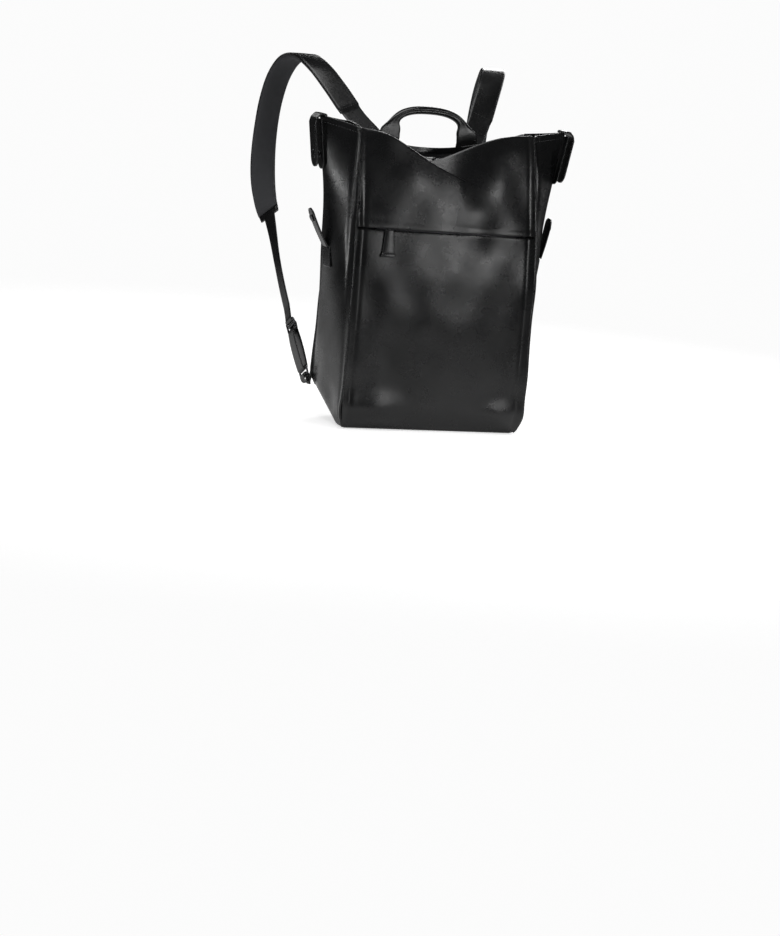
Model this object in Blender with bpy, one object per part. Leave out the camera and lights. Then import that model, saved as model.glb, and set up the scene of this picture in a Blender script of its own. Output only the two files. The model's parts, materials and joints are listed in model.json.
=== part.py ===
"""A leather shopper backpack standing on its base, in metres.

The wearer's side faces +Y, the front -Y. The skin is one loft: a rectangular tube at the base
whose gussets fold flat towards the mouth and end in two wings. Every layer of the bag is cut
from that loft. Paired pieces are made on the right (+X) and copied to the left.
"""

from math import cos, exp, pi, radians, sin

import bmesh
import bpy
from mathutils import Matrix, Vector

# Driving dimensions of the skin
HALF_WIDTH = 0.145  # front and back panels at the base
HALF_DEPTH = 0.065  # gussets at the base
WING_X = 0.200  # fold of the gusset at the mouth
WING_Z = 0.452
SEAM_TOP_X = 0.139  # front and back seams at the mouth
SEAM_TOP_Y = 0.015
SEAM_TOP_Z = 0.444
LEFT_SEAM_Z = 0.438  # the left shoulder of the slouched mouth hangs lower
FRONT_CROWN = 0.024
BACK_CROWN = 0.042
BELLY = 0.004
POCKET_Z = 0.297
VALLEY_X = 0.030  # where the front edge slouches lowest
VALLEY_Z = 0.366
VALLEY_RISE = 0.022  # how quickly the edge climbs to the right of the valley
BACK_DIP = 0.034
BASE_ROUND = 0.008
FLATTEN = 1.4  # power with which the tube flattens towards the mouth
CORNER_LIFT = 0.055  # the soft lower back corners stand clear of the floor
CORNER_WIDTH = 0.065
CORNER_DEPTH = 0.100
CORNER_TOP = 0.160  # the lift fades out up to this height

# Shares of the height
ROUND_V = 0.04
POCKET_V = 0.66

# Materials' thicknesses
LEATHER = 0.0020
GAP = 0.0003
PAD = 0.0045
PAD_ROOM = 0.0018  # slack between the padding and the lining
POCKET_ROOM = 0.0087

# Mouth zip: an arc that sags between the wings
ZIP_Y = 0.004
ZIP_RADIUS = 0.373
ZIP_CENTRE_Z = 0.767
POCKET_ARC_Y = 1.383  # centre of the pocket zip's shallow arc, behind the bag

# Hardware
STRAP_WIDTH = 0.038
LOWER_WIDTH = 0.022
FOOT_X = 0.063
FOOT_HALF = 0.019
HANDLE_HINGE = (0.0, 0.0545, 0.4338)  # where the rolled handle bends at its flat ends

BLACK = (0.012, 0.012, 0.013)
COLOURS = {
    "leather": (BLACK, 0.38, 0.0),
    "edge": ((0.006, 0.006, 0.006), 0.45, 0.0),
    "lining": ((0.045, 0.045, 0.05), 0.85, 0.0),
    "foam": ((0.10, 0.10, 0.10), 0.95, 0.0),
    "board": ((0.08, 0.07, 0.06), 0.8, 0.0),
    "zip": ((0.015, 0.015, 0.016), 0.7, 0.0),
    "metal": ((0.09, 0.09, 0.095), 0.3, 1.0),
}


def clear_scene():
    for obj in list(bpy.data.objects):
        bpy.data.objects.remove(obj, do_unlink=True)


def new_collection(name):
    collection = bpy.data.collections.new(name)
    bpy.context.scene.collection.children.link(collection)
    return collection


def material(name, look):
    colour, roughness, metallic = COLOURS[look]
    made = bpy.data.materials.new(name)
    made.use_nodes = True
    shader = made.node_tree.nodes["Principled BSDF"]
    shader.inputs["Base Color"].default_value = (*colour, 1.0)
    shader.inputs["Roughness"].default_value = roughness
    shader.inputs["Metallic"].default_value = metallic
    return made


clear_scene()
BAG = new_collection("leather_backpack")


def add(name, mesh, look):
    """The named sub-part of this mesh, with its own material."""
    mesh.name = name
    mesh.materials.clear()
    mesh.materials.append(material(name, look))
    mesh.shade_smooth()
    mesh.set_sharp_from_angle(angle=radians(35))
    obj = bpy.data.objects.new(name, mesh)
    BAG.objects.link(obj)
    return obj


def mesh_from(build):
    """Runs build on a new bmesh and returns the mesh with its faces pointing out."""
    bm = bmesh.new()
    build(bm)
    bmesh.ops.recalc_face_normals(bm, faces=bm.faces)
    mesh = bpy.data.meshes.new("mesh")
    bm.to_mesh(mesh)
    bm.free()
    return mesh


def left_copy(obj, look, pivot=None):
    """The mirror image of a right-hand piece, as its own object."""
    name = obj.name.replace("_right", "_left")
    bm = bmesh.new()
    bm.from_mesh(obj.data)
    bmesh.ops.transform(bm, matrix=obj.matrix_basis, verts=bm.verts)
    bmesh.ops.transform(bm, matrix=Matrix.Scale(-1, 4, (1, 0, 0)), verts=bm.verts)
    bmesh.ops.reverse_faces(bm, faces=bm.faces)
    mesh = bpy.data.meshes.new(name)
    bm.to_mesh(mesh)
    bm.free()
    made = add(name, mesh, look)
    if pivot:
        set_pivot(made, (-pivot[0], pivot[1], pivot[2]))
    return made


def set_pivot(obj, point):
    """Moves the object's origin onto its joint's axis; the shape stays where it is."""
    obj.data.transform(Matrix.Translation(-Vector(point)))
    obj.location = point


def pair(obj, look, pivot=None):
    """A right-hand piece and its left-hand copy."""
    left_copy(obj, look, pivot)
    if pivot:
        set_pivot(obj, pivot)


def share(value, low, high):
    return min(1.0, max(0.0, (value - low) / (high - low)))


# The skin


def corner_lift(x, y):
    across = share(abs(x), HALF_WIDTH - CORNER_WIDTH, HALF_WIDTH)
    along = share(y, HALF_DEPTH - CORNER_DEPTH, HALF_DEPTH)
    return CORNER_LIFT * across**2 * along


def mouth_height(panel, t, x, half):
    """Height of the free edge: a slouched V in front, a long dip behind, a peak on each wing."""
    if panel == 0:
        if x < VALLEY_X:
            return VALLEY_Z + (LEFT_SEAM_Z - VALLEY_Z) * (VALLEY_X - x) / (VALLEY_X + half)
        return SEAM_TOP_Z - (SEAM_TOP_Z - VALLEY_Z) * exp((VALLEY_X - x) / VALLEY_RISE)
    if panel == 2:
        return SEAM_TOP_Z - BACK_DIP * (1 - (x / half) ** 2)
    edge = SEAM_TOP_Z
    if panel == 3:
        edge = SEAM_TOP_Z + (LEFT_SEAM_Z - SEAM_TOP_Z) * t
    return edge + (WING_Z - edge) * (1 - abs(2 * t - 1))


def skin(s, v, depth=0.0, front=0.0, back=0.0):
    """A point of the skin.

    s goes round: 0-1 front, 1-2 right gusset, 2-3 back, 3-4 left gusset. v goes from the base
    to the mouth. depth is how far inside the outer face the layer lies; front and back are
    extra depths behind the pocket and behind the back's padding.
    """
    s %= 4
    panel, t = int(s), s - int(s)
    across = 2 * t - 1
    rounding = max(BASE_ROUND - depth, 0.001)
    tuck = 0.0
    if v < ROUND_V:
        angle = v / ROUND_V * pi / 2
        z = depth + rounding * (1 - cos(angle))
        tuck = rounding * (1 - sin(angle))
    else:
        z_low = depth + rounding
        z = z_low + (POCKET_Z - z_low) * share(v, ROUND_V, POCKET_V)
    if v > POCKET_V:
        half = SEAM_TOP_X - depth
        top = mouth_height(panel, t, across * half * (1 if panel == 0 else -1), half)
        z = POCKET_Z + (v - POCKET_V) / (1 - POCKET_V) * (top - POCKET_Z)
    flat = (z / WING_Z) ** FLATTEN
    seam_x = HALF_WIDTH + (SEAM_TOP_X - HALF_WIDTH) * flat**2 - depth - tuck
    seam_y = HALF_DEPTH + (SEAM_TOP_Y - HALF_DEPTH) * flat**2 - depth - tuck
    fold_x = HALF_WIDTH + (WING_X - HALF_WIDTH) * flat - depth * (1 + 3 * flat) - tuck
    if panel == 0:
        x = seam_x * across
        puff = FRONT_CROWN * flat**2 + BELLY * sin(pi * share(z, 0, POCKET_Z))
        y = front - seam_y - puff * (1 - across**2)
    elif panel == 2:
        x = -seam_x * across
        y = seam_y - back + BACK_CROWN * flat**2 * (1 - across**2)
    else:
        side = 1 if panel == 1 else -1
        to_back = t if panel == 1 else 1 - t
        y = seam_y * (2 * to_back - 1) + front * (1 - to_back) ** 4 - back * to_back**4
        x = side * (seam_x + (fold_x - seam_x) * (1 - abs(across) ** (1.5 - 0.4 * flat)))
    fade = max(0.0, 1 - z / CORNER_TOP) ** 2
    return Vector((x, y, z + corner_lift(x, y) * fade))


def marks(low, high, lines):
    """The shared grid lines between two ends, with the ends, so that neighbouring layers agree."""
    near = 0.004
    return [low, *(line for line in lines if low + near < line < high - near), high]


def round_lines(per_panel):
    return [i / per_panel for i in range(4 * per_panel + 1)]


def height_lines():
    """Rows round the hem, up to the pocket's zip, and on to the mouth."""
    hem = [ROUND_V * i / 3 for i in range(3)]
    lower = [ROUND_V + (POCKET_V - ROUND_V) * i / 8 for i in range(8)]
    upper = [POCKET_V + (1 - POCKET_V) * i / 5 for i in range(6)]
    return hem + lower + upper


def grid_solid(bm, outer, inner, loop=False):
    """Closes two matching grids of points, rows by columns, into one slab.

    Every slab splits its squares along the same diagonal, so nested layers stay parallel.
    """
    made = [[[bm.verts.new(p) for p in row] for row in grid] for grid in (outer, inner)]
    rows, columns = len(outer), len(outer[0])
    spans = columns if loop else columns - 1
    for grid in made:
        for i in range(rows - 1):
            for j in range(spans):
                k = (j + 1) % columns
                bm.faces.new((grid[i][j], grid[i][k], grid[i + 1][k]))
                bm.faces.new((grid[i][j], grid[i + 1][k], grid[i + 1][j]))
    first, second = made
    for i in (0, rows - 1):
        for j in range(spans):
            k = (j + 1) % columns
            bm.faces.new((first[i][j], first[i][k], second[i][k], second[i][j]))
    if not loop:
        for j in (0, columns - 1):
            for i in range(rows - 1):
                bm.faces.new((first[i][j], first[i + 1][j], second[i + 1][j], second[i][j]))


def layer(name, look, span, rise, depths, per_panel=12, extra=None):
    """A piece of the bag cut from the loft between two depths.

    depths are two numbers or two functions of (s, v); extra(v) gives the depths behind the
    pocket and the padding. A span of all four panels closes on itself.
    """
    loop = span == (0, 4)
    stations = marks(*span, round_lines(per_panel))[: -1 if loop else None]

    def depth_at(d, s, v):
        return d(s, v) if callable(d) else d

    def grid(d):
        points = []
        for v in marks(*rise, height_lines()):
            front, back = extra(v) if extra else (0.0, 0.0)
            points.append([skin(s, v, depth_at(d, s, v), front, back) for s in stations])
        return points

    mesh = mesh_from(lambda bm: grid_solid(bm, grid(depths[0]), grid(depths[1]), loop))
    return add(name, mesh, look)


# Flat outlines, sweeps and turned pieces


def mesh_of_curve(curve_data):
    """The closed mesh that a curve makes, its caps welded on."""
    obj = bpy.data.objects.new("guide", curve_data)
    bpy.context.scene.collection.objects.link(obj)
    bpy.context.view_layer.update()
    graph = bpy.context.evaluated_depsgraph_get()
    mesh = bpy.data.meshes.new_from_object(obj.evaluated_get(graph))
    bpy.data.objects.remove(obj, do_unlink=True)
    bm = bmesh.new()
    bm.from_mesh(mesh)
    bmesh.ops.remove_doubles(bm, verts=bm.verts, dist=0.00001)
    bmesh.ops.recalc_face_normals(bm, faces=bm.faces)
    bm.to_mesh(mesh)
    bm.free()
    return mesh


def plate(outlines, thickness):
    """A flat plate in its own XY plane, from one outline and any holes."""
    curve = bpy.data.curves.new("outline", "CURVE")
    curve.dimensions = "2D"
    curve.fill_mode = "BOTH"
    curve.extrude = thickness / 2
    for outline in outlines:
        spline = curve.splines.new("POLY")
        spline.points.add(len(outline) - 1)
        for point, (x, y) in zip(spline.points, outline):
            point.co = (x, y, 0, 1)
        spline.use_cyclic_u = True
    return mesh_of_curve(curve)


def rounded(width, height, radius, steps=3, offset=(0, 0)):
    """A rounded rectangle's outline, centred on offset."""
    points = []
    for turn, (sx, sy) in enumerate(((1, 1), (-1, 1), (-1, -1), (1, -1))):
        for i in range(steps + 1):
            angle = (turn + i / steps) * pi / 2
            x = sx * (width / 2 - radius) + radius * cos(angle)
            y = sy * (height / 2 - radius) + radius * sin(angle)
            points.append((x + offset[0], y + offset[1]))
    return points


def tube(points, radius):
    curve = bpy.data.curves.new("tube", "CURVE")
    curve.dimensions = "3D"
    curve.bevel_depth = radius
    curve.bevel_resolution = 2
    curve.use_fill_caps = True
    spline = curve.splines.new("POLY")
    spline.points.add(len(points) - 1)
    for point, place in zip(spline.points, points):
        point.co = (*place, 1)
    return mesh_of_curve(curve)


def disc(radius, height, sides=16):
    def build(bm):
        bmesh.ops.create_cone(
            bm, cap_ends=True, segments=sides, radius1=radius, radius2=radius * 0.85, depth=height
        )

    return mesh_from(build)


def sweep(stations, profile):
    """A closed outline (across, out) carried through stations of (place, across, out)."""

    def build(bm):
        rings = []
        for place, across, out in stations:
            rings.append([bm.verts.new(place + across * a + out * b) for a, b in profile])
        for low, high in zip(rings, rings[1:]):
            for i in range(len(profile)):
                k = (i + 1) % len(profile)
                a, b = (i, k) if profile[k][0] >= profile[i][0] else (k, i)
                bm.faces.new((low[a], low[b], high[b]))
                bm.faces.new((low[a], high[b], high[a]))
        for ring in (rings[0], rings[-1]):
            bm.faces.new(ring)

    return mesh_from(build)


def frame_matrix(origin, across, along):
    """Axes for a plate: its X along across, its Y along along, its Z along their cross product."""
    x, y = Vector(across).normalized(), Vector(along).normalized()
    z = x.cross(y).normalized()
    y = z.cross(x)
    turn = Matrix((x, y, z)).transposed().to_4x4()
    return Matrix.Translation(origin) @ turn


def placed(mesh, matrix):
    mesh.transform(matrix)
    return mesh


# The shell


def inner_depths(v):
    """How much deeper the lining lies behind the front pocket and behind the back's padding."""
    pocket_end = POCKET_V + 0.16
    front = POCKET_ROOM + 2 * LEATHER
    return front * share(-v, -pocket_end, 0.06 - pocket_end), PAD + PAD_ROOM


def make_shell():
    s_gap, gusset_gap, v_gap = GAP / 0.29, GAP / 0.13, 0.0067
    front = (s_gap, 1 - s_gap)
    skin_depths = (0.0, LEATHER)
    layer("pocket_panel", "leather", front, (0.0, POCKET_V - v_gap), skin_depths)
    layer("front_yoke", "leather", front, (POCKET_V + v_gap * 1.2, 1.0), skin_depths, 24)
    layer("back_panel", "leather", (2 + s_gap, 3 - s_gap), (0.0, 1.0), skin_depths)
    gusset_span = (1 + gusset_gap, 2 - gusset_gap)
    gusset = layer("gusset_right", "leather", gusset_span, (0.0, 1.0), skin_depths)
    pair(gusset, "leather")
    make_base()


def base_plate(name, look, half_x, y_low, y_high, z_low, z_high):
    columns, rows = 18, 9

    def grid(z):
        points = []
        for i in range(rows + 1):
            y = y_low + (y_high - y_low) * i / rows
            xs = [half_x * (2 * j / columns - 1) for j in range(columns + 1)]
            points.append([Vector((x, y, z + corner_lift(x, y))) for x in xs])
        return points

    add(name, mesh_from(lambda bm: grid_solid(bm, grid(z_low), grid(z_high))), look)


def make_base():
    edge_x = HALF_WIDTH - BASE_ROUND - GAP
    edge_y = HALF_DEPTH - BASE_ROUND - GAP
    base_plate("base_panel", "leather", edge_x, -edge_y, edge_y, 0.0, LEATHER)
    board_low = LEATHER + 4 * GAP
    front, back = inner_depths(0)
    board_y = (front + 0.002 - edge_y, edge_y - back - 0.002)
    base_plate("base_board", "board", edge_x - 0.002, *board_y, board_low, board_low + 0.0024)


# The inside


def make_inside():
    start = LEATHER + 3 * GAP
    layer("back_pad", "foam", (2.04, 2.96), (0.08, 0.90), (start, start + PAD - GAP))
    lining = (LEATHER + 3 * GAP, LEATHER + 3 * GAP + 0.0008)
    layer("lining", "lining", (0, 4), (ROUND_V * 2 / 3, 0.92), lining, extra=inner_depths)
    make_pocket_bag()
    make_sleeves()


def make_pocket_bag():
    """A pouch behind the pocket panel, sewn to it all round and open to the zip in front."""
    span, rise = (0.04, 0.96), (0.07, POCKET_V + 0.09)

    def bag_depth(s, v):
        across = min(share(s, span[0], span[0] + 0.05), share(-s, -span[1], 0.05 - span[1]))
        along = min(share(v, rise[0], rise[0] + 0.04), share(-v, -rise[1], 0.04 - rise[1]))
        return LEATHER + 2 * GAP + POCKET_ROOM * min(across, along)

    wall = 0.0009
    depths = (bag_depth, lambda s, v: bag_depth(s, v) + wall)
    layer("pocket_bag", "lining", span, rise, depths, 24)


def channel(name, half_x, y_open, y_wall, z_low, z_high, wall):
    """A sleeve's wall with its two returns, standing upright: a U in plan."""
    out = 1 if y_wall > y_open else -1
    outline = [
        (-half_x, y_open),
        (-half_x, y_wall),
        (half_x, y_wall),
        (half_x, y_open),
        (half_x - wall, y_open),
        (half_x - wall, y_wall - out * wall),
        (wall - half_x, y_wall - out * wall),
        (wall - half_x, y_open),
    ]
    mesh = plate([outline], z_high - z_low)
    mesh.transform(Matrix.Translation((0, 0, (z_low + z_high) / 2)))
    add(name, mesh, "lining")


def make_sleeves():
    channel("laptop_sleeve", 0.112, 0.046, 0.028, 0.022, 0.250, 0.002)
    channel("inner_pocket", 0.080, -0.039, -0.027, 0.180, 0.285, 0.0015)


# The mouth zip and its plackets


def zip_point(angle, lift=0.0):
    """A place over the mouth zip, angle measured from the middle towards +X."""
    radius = ZIP_RADIUS - lift
    return Vector((radius * sin(angle), ZIP_Y, ZIP_CENTRE_Z - radius * cos(angle)))


def zip_sweep(start, end, steps, profile):
    stations = []
    for i in range(steps + 1):
        angle = start + (end - start) * i / steps
        up = Vector((-sin(angle), 0, cos(angle)))
        stations.append((zip_point(angle), Vector((0, 1, 0)), up))
    return sweep(stations, profile)


def make_mouth():
    tape, ridge, half, top = 0.005, 0.0025, 0.0005, 0.0014
    chain = [
        (-tape, -half),
        (tape, -half),
        (tape, half),
        (ridge, half),
        (ridge, top),
        (-ridge, top),
        (-ridge, half),
        (-tape, half),
    ]
    end = radians(22)
    add("main_zip_tape", zip_sweep(-end, end, 20, chain), "zip")
    for name, side, span in (("placket_front", -1, (0.04, 0.96)), ("placket_back", 1, (2.04, 2.96))):
        make_placket(name, side, span, tape + GAP)
    make_main_slider()


def make_placket(name, side, span, tape_edge):
    """A leather strip from the mouth's edge down to the zip tape."""
    columns, wall = 22, 0.0012
    edge, middle, tape = [], [], []
    for j in range(columns + 1):
        s = span[0] + (span[1] - span[0]) * j / columns
        outer = skin(s, 0.95, LEATHER + 2 * GAP)
        angle = outer.x / ZIP_RADIUS
        inner = Vector((outer.x, ZIP_Y + side * tape_edge, zip_point(angle).z))
        edge.append(outer)
        middle.append((outer + inner) / 2)
        tape.append(inner)
    upper = [edge, middle, tape]
    lower = [[p - Vector((0, 0, wall)) for p in row] for row in upper]
    add(name, mesh_from(lambda bm: grid_solid(bm, upper, lower)), "leather")


def make_main_slider():
    groove, skirt, roof = 0.0018, 0.0009, 0.0048
    body = [
        (-0.004, skirt),
        (-0.004, roof),
        (0.004, roof),
        (0.004, skirt),
        (0.003, skirt),
        (0.003, groove),
        (-0.003, groove),
        (-0.003, skirt),
    ]
    start, end = 0.0015 / ZIP_RADIUS, 0.0125 / ZIP_RADIUS
    slider = add("main_slider_right", zip_sweep(start, end, 3, body), "metal")
    pair(slider, "metal", (0, ZIP_Y, ZIP_CENTRE_Z))
    pin = zip_point(0.009 / ZIP_RADIUS, roof + 0.0012)
    pull = plate([rounded(0.028, 0.006, 0.002, offset=(0.0136, 0))], 0.0014)
    pull.transform(Matrix.Translation(pin))
    pair(add("main_pull_right", pull, "leather"), "leather", pin)


# The pocket zip


def make_pocket_zip():
    front = (0.10, 0.90)
    behind = (LEATHER + GAP, LEATHER + GAP + 0.0009)
    low, high = POCKET_V - 0.03, POCKET_V + 0.045
    layer("pocket_zip_tape", "zip", front, (low, high), behind)
    parked_s, half = 0.171, 0.0155
    slider = layer(
        "pocket_zip_slider",
        "metal",
        (parked_s - half, parked_s + half),
        (POCKET_V - 0.0045, POCKET_V + 0.0035),
        (-0.0008, LEATHER),
    )
    pull = layer(
        "pocket_zip_pull",
        "leather",
        (parked_s - 0.032, parked_s + 0.032),
        (POCKET_V - 0.087, POCKET_V - 0.002),
        (-0.0034, -0.0014),
    )
    axis = skin(parked_s, POCKET_V, -0.0024)
    set_pivot(slider, (0, POCKET_ARC_Y, axis.z))
    set_pivot(pull, axis)


# The handle


def handle_path(steps):
    """A flattened arch from foot to foot, leaning a little towards the wearer."""
    points, power = [], 2 / 2.5
    for i in range(steps + 1):
        angle = pi * i / steps
        side = -1 if cos(angle) > 0 else 1
        x = side * 0.058 * abs(cos(angle)) ** power
        rise = abs(sin(angle)) ** power
        points.append(Vector((x, 0.0545 + 0.006 * rise, 0.4345 + 0.0315 * rise)))
    return points


def path_stations(points, across_hint):
    """Stations along a path, their across direction nearest to the hint."""
    stations = []
    for i, place in enumerate(points):
        before, after = points[max(i - 1, 0)], points[min(i + 1, len(points) - 1)]
        along = (after - before).normalized()
        hint = across_hint(i) if callable(across_hint) else across_hint
        across = (hint - along * hint.dot(along)).normalized()
        stations.append((place, across, along.cross(across)))
    return stations


def make_handle():
    points = handle_path(24)
    core = [points[i] for i in range(1, len(points) - 1)]
    outer, inner, slot = 0.006, 0.0043, radians(12)
    ring = [slot + (2 * pi - 2 * slot) * i / 11 for i in range(12)]
    wrap = [(outer * cos(a), outer * sin(a)) for a in ring]
    wrap += [(inner * cos(a), inner * sin(a)) for a in reversed(ring)]
    wrapped = add("handle_wrap", sweep(path_stations(points, Vector((0, 1, 0))), wrap), "leather")
    set_pivot(wrapped, HANDLE_HINGE)
    set_pivot(add("handle_core", tube(core, inner - 0.0005), "foam"), HANDLE_HINGE)
    make_handle_ends()


def make_handle_ends():
    foot_t = FOOT_X / SEAM_TOP_X / 2
    half_t = FOOT_HALF / SEAM_TOP_X / 2
    span = (2.5 - foot_t - half_t, 2.5 - foot_t + half_t)
    outside = (-2 * GAP - LEATHER, -2 * GAP)
    pair(layer("handle_foot_right", "leather", span, (0.945, 1.0), outside, 48), "leather")
    low, high = [], []
    for t in (-1, -0.5, 0, 0.5, 1):
        base = skin(2.5 - foot_t - half_t * t, 1.0, -LEATHER)
        rim = Vector((0, 0, 0.0010))
        low.append(base + rim)
        high.append(Vector((0.058 + 0.0065 * t, 0.0560, 0.4330)))
    wall = Vector((0, LEATHER, 0))
    middle = [(a * 0.55 + b * 0.45) for a, b in zip(low, high)]
    rows = [low, middle, high]
    back = [[p + wall for p in row] for row in rows]
    flare = add("handle_flare_right", mesh_from(lambda bm: grid_solid(bm, rows, back)), "leather")
    pair(flare, "leather")


# The shoulder straps: hand-chosen route of the right one, from its root to the lower corner
STRAP_ROUTE = [
    (0.067, 0.0600, 0.401),
    (0.074, 0.0690, 0.413),
    (0.086, 0.0840, 0.428),
    (0.103, 0.1040, 0.448),
    (0.125, 0.1340, 0.484),
    (0.143, 0.1610, 0.511),
    (0.157, 0.1880, 0.524),
    (0.167, 0.2180, 0.517),
    (0.173, 0.2450, 0.489),
    (0.176, 0.2620, 0.448),
    (0.177, 0.2690, 0.402),
    (0.1775, 0.2680, 0.360),
    (0.1785, 0.2570, 0.325),
    (0.1795, 0.2370, 0.298),
    (0.1800, 0.2130, 0.277),
    (0.1800, 0.1905, 0.250),
    (0.1785, 0.1690, 0.216),
    (0.1745, 0.1460, 0.177),
    (0.16865, 0.12399, 0.1388),
]
RING_PLACE = Vector((0.1545, 0.0740, 0.0600))
LOWER_ALONG = Vector((0.150, 0.530, 0.835)).normalized()
LOWER_ACROSS = Vector((0.0, 0.835, -0.530)).normalized()


def smooth_route(points, steps):
    """Catmull-Rom through the points."""
    knots = [Vector(p) for p in points]
    knots = [2 * knots[0] - knots[1], *knots, 2 * knots[-1] - knots[-2]]
    route = []
    for a, b, c, d in zip(knots, knots[1:], knots[2:], knots[3:]):
        for i in range(steps):
            t = i / steps
            route.append(
                0.5
                * (
                    2 * b
                    + (c - a) * t
                    + (2 * a - 5 * b + 4 * c - d) * t**2
                    + (3 * b - a - 3 * c + d) * t**3
                )
            )
    return [*route, knots[-2]]


def strap_stations(start, end):
    """Stations between two shares of the route; the strap turns edge-on under the arm."""
    route = smooth_route(STRAP_ROUTE, 2)
    last = len(route) - 1

    def across(i):
        turn = share(i / last, 0.50, 0.92)
        turn = turn * turn * (3 - 2 * turn)
        flat = Vector((1, 0, 0)) * cos(turn * pi / 2)
        return (flat + LOWER_ACROSS * sin(turn * pi / 2)).normalized()

    stations = path_stations(route, across)
    return stations[round(start * last) : round(end * last) + 1]


def band(half_width, low, high):
    return [(-half_width, low), (half_width, low), (half_width, high), (-half_width, high)]


# Shares of the route where the padding starts and ends, and the narrow lower strap starts
HEM, FOAM_END, PAD_END, LOWER_START = 0.14, 0.76, 0.78, 0.79


def make_straps():
    half = STRAP_WIDTH / 2
    pivot = Vector(STRAP_ROUTE[0])
    layers = (
        ("strap_leather_right", "leather", (0.0, PAD_END), half, -LEATHER, 0.0),
        ("strap_foam_right", "foam", (HEM, FOAM_END), half - 0.003, 2 * GAP, 0.0047),
        ("strap_lining_right", "lining", (HEM, FOAM_END), half, 0.0052, 0.0062),
        ("lower_strap_right", "leather", (LOWER_START, 1.0), LOWER_WIDTH / 2, -LEATHER, 0.0),
    )
    for name, look, (start, end), width, outside, inside in layers:
        mesh = sweep(strap_stations(start, end), band(width, outside, inside))
        pair(add(name, mesh, look), look, pivot)
    root_t = 0.066 / SEAM_TOP_X / 2
    half_t = half / SEAM_TOP_X / 2
    span = (2.5 - root_t - half_t, 2.5 - root_t + half_t)
    outside = (-2 * GAP - LEATHER, -2 * GAP)
    root = layer("strap_root_right", "leather", span, (0.80, 0.925), outside, 48)
    pair(root, "leather")
    make_lower_end(pivot)


def make_lower_end(pivot):
    """Buckle, adjusting strap, ring and corner tab, along the lower strap's own line."""
    wide = LOWER_WIDTH + 0.001

    def at(along):
        return frame_matrix(RING_PLACE + LOWER_ALONG * along, LOWER_ACROSS, LOWER_ALONG)

    ring = plate([rounded(wide + 0.007, 0.016, 0.003), rounded(wide, 0.010, 0.0012)], 0.003)
    pair(add("ring_right", placed(ring, at(0)), "metal"), "metal", pivot)
    slots = [rounded(wide, 0.0055, 0.001, offset=(0, side * 0.0048)) for side in (-1, 1)]
    buckle = plate([rounded(wide + 0.008, 0.022, 0.003), *slots], 0.003)
    pair(add("buckle_right", placed(buckle, at(0.076)), "metal"), "metal", pivot)
    loop = placed(folded_strap(0.0630, 0.0030, LOWER_WIDTH), at(0) @ loop_axes(1))
    pair(add("adjuster_loop_right", loop, "leather"), "leather", pivot)
    tab = placed(folded_strap(0.0180, 0.0036, 0.0150), at(0) @ loop_axes(-1))
    pair(add("anchor_tab_right", tab, "leather"), "leather")


def loop_axes(side):
    """Stands a strap fold's outline across the strap's width, its leaves up (1) or down (-1)."""
    return Matrix(((0, 0, 1, 0), (side, 0, 0, 0), (0, side, 0, 0), (0, 0, 0, 1)))


def folded_strap(reach, inner, width):
    """A strap folded round a bar: a hairpin of two leaves, open at its far end."""
    bar, wall, steps = 0.0065, 0.0016, 6
    outer = inner + wall
    turn = [pi / 2 + pi * i / steps for i in range(steps + 1)]
    outline = [(reach, outer)]
    outline += [(bar + outer * cos(a), outer * sin(a)) for a in turn]
    outline += [(reach, -outer), (reach, -inner)]
    outline += [(bar + inner * cos(a), inner * sin(a)) for a in reversed(turn)]
    outline += [(reach, inner)]
    return plate([outline], width)


# Tabs at the wings and on the gussets


def fold_line(z):
    """The gusset's fold at this height."""
    return HALF_WIDTH + (WING_X - HALF_WIDTH) * (z / WING_Z) ** FLATTEN


def strap_end(length, width):
    """A leather strap's outline from its root at the origin up +Y to its round end."""
    radius, steps = width / 2, 8
    tip = [pi * i / steps for i in range(steps + 1)]
    outline = [(-radius, 0), (radius, 0)]
    outline += [(radius * cos(a), length - radius + radius * sin(a)) for a in tip]
    return outline


def wing_frame(x, z, lean):
    """Axes of a plate that hangs outside the wing: its Y runs down, its Z faces out."""
    down = Vector((-lean, 0, -1)).normalized()
    return frame_matrix((x, 0, z), (0, -1, 0), down)


def hooked_tab(root_x, bend_x, lean, length, half_width, wall):
    """A tab that lies over the wing's peak, bends down outside it and ends round."""
    top = WING_Z + 2 * GAP + wall / 2
    points = [Vector((root_x, 0, top)), Vector((root_x + 0.006, 0, top + 0.0006))]
    points += [Vector((bend_x - 0.003, 0, top - 0.0002)), Vector((bend_x, 0, top - 0.0040))]
    down = Vector((-lean, 0, -1)).normalized()
    points += [points[3] + down * length * share(i, 0, 3) for i in (1, 2)]
    tip_start = points[3] + down * (length - half_width)
    steps = 6
    turns = [pi / 2 * i / steps for i in range(steps)]
    points += [tip_start + down * half_width * sin(a) for a in turns]
    stations = path_stations(points, Vector((0, 1, 0)))
    first_tip = len(points) - steps
    rounded_tip = []
    for i, (place, across, out) in enumerate(stations):
        scale = cos(turns[i - first_tip]) if i >= first_tip else 1.0
        rounded_tip.append((place, across * scale, out))
    return sweep(rounded_tip, band(half_width, -wall / 2, wall / 2))


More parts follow.
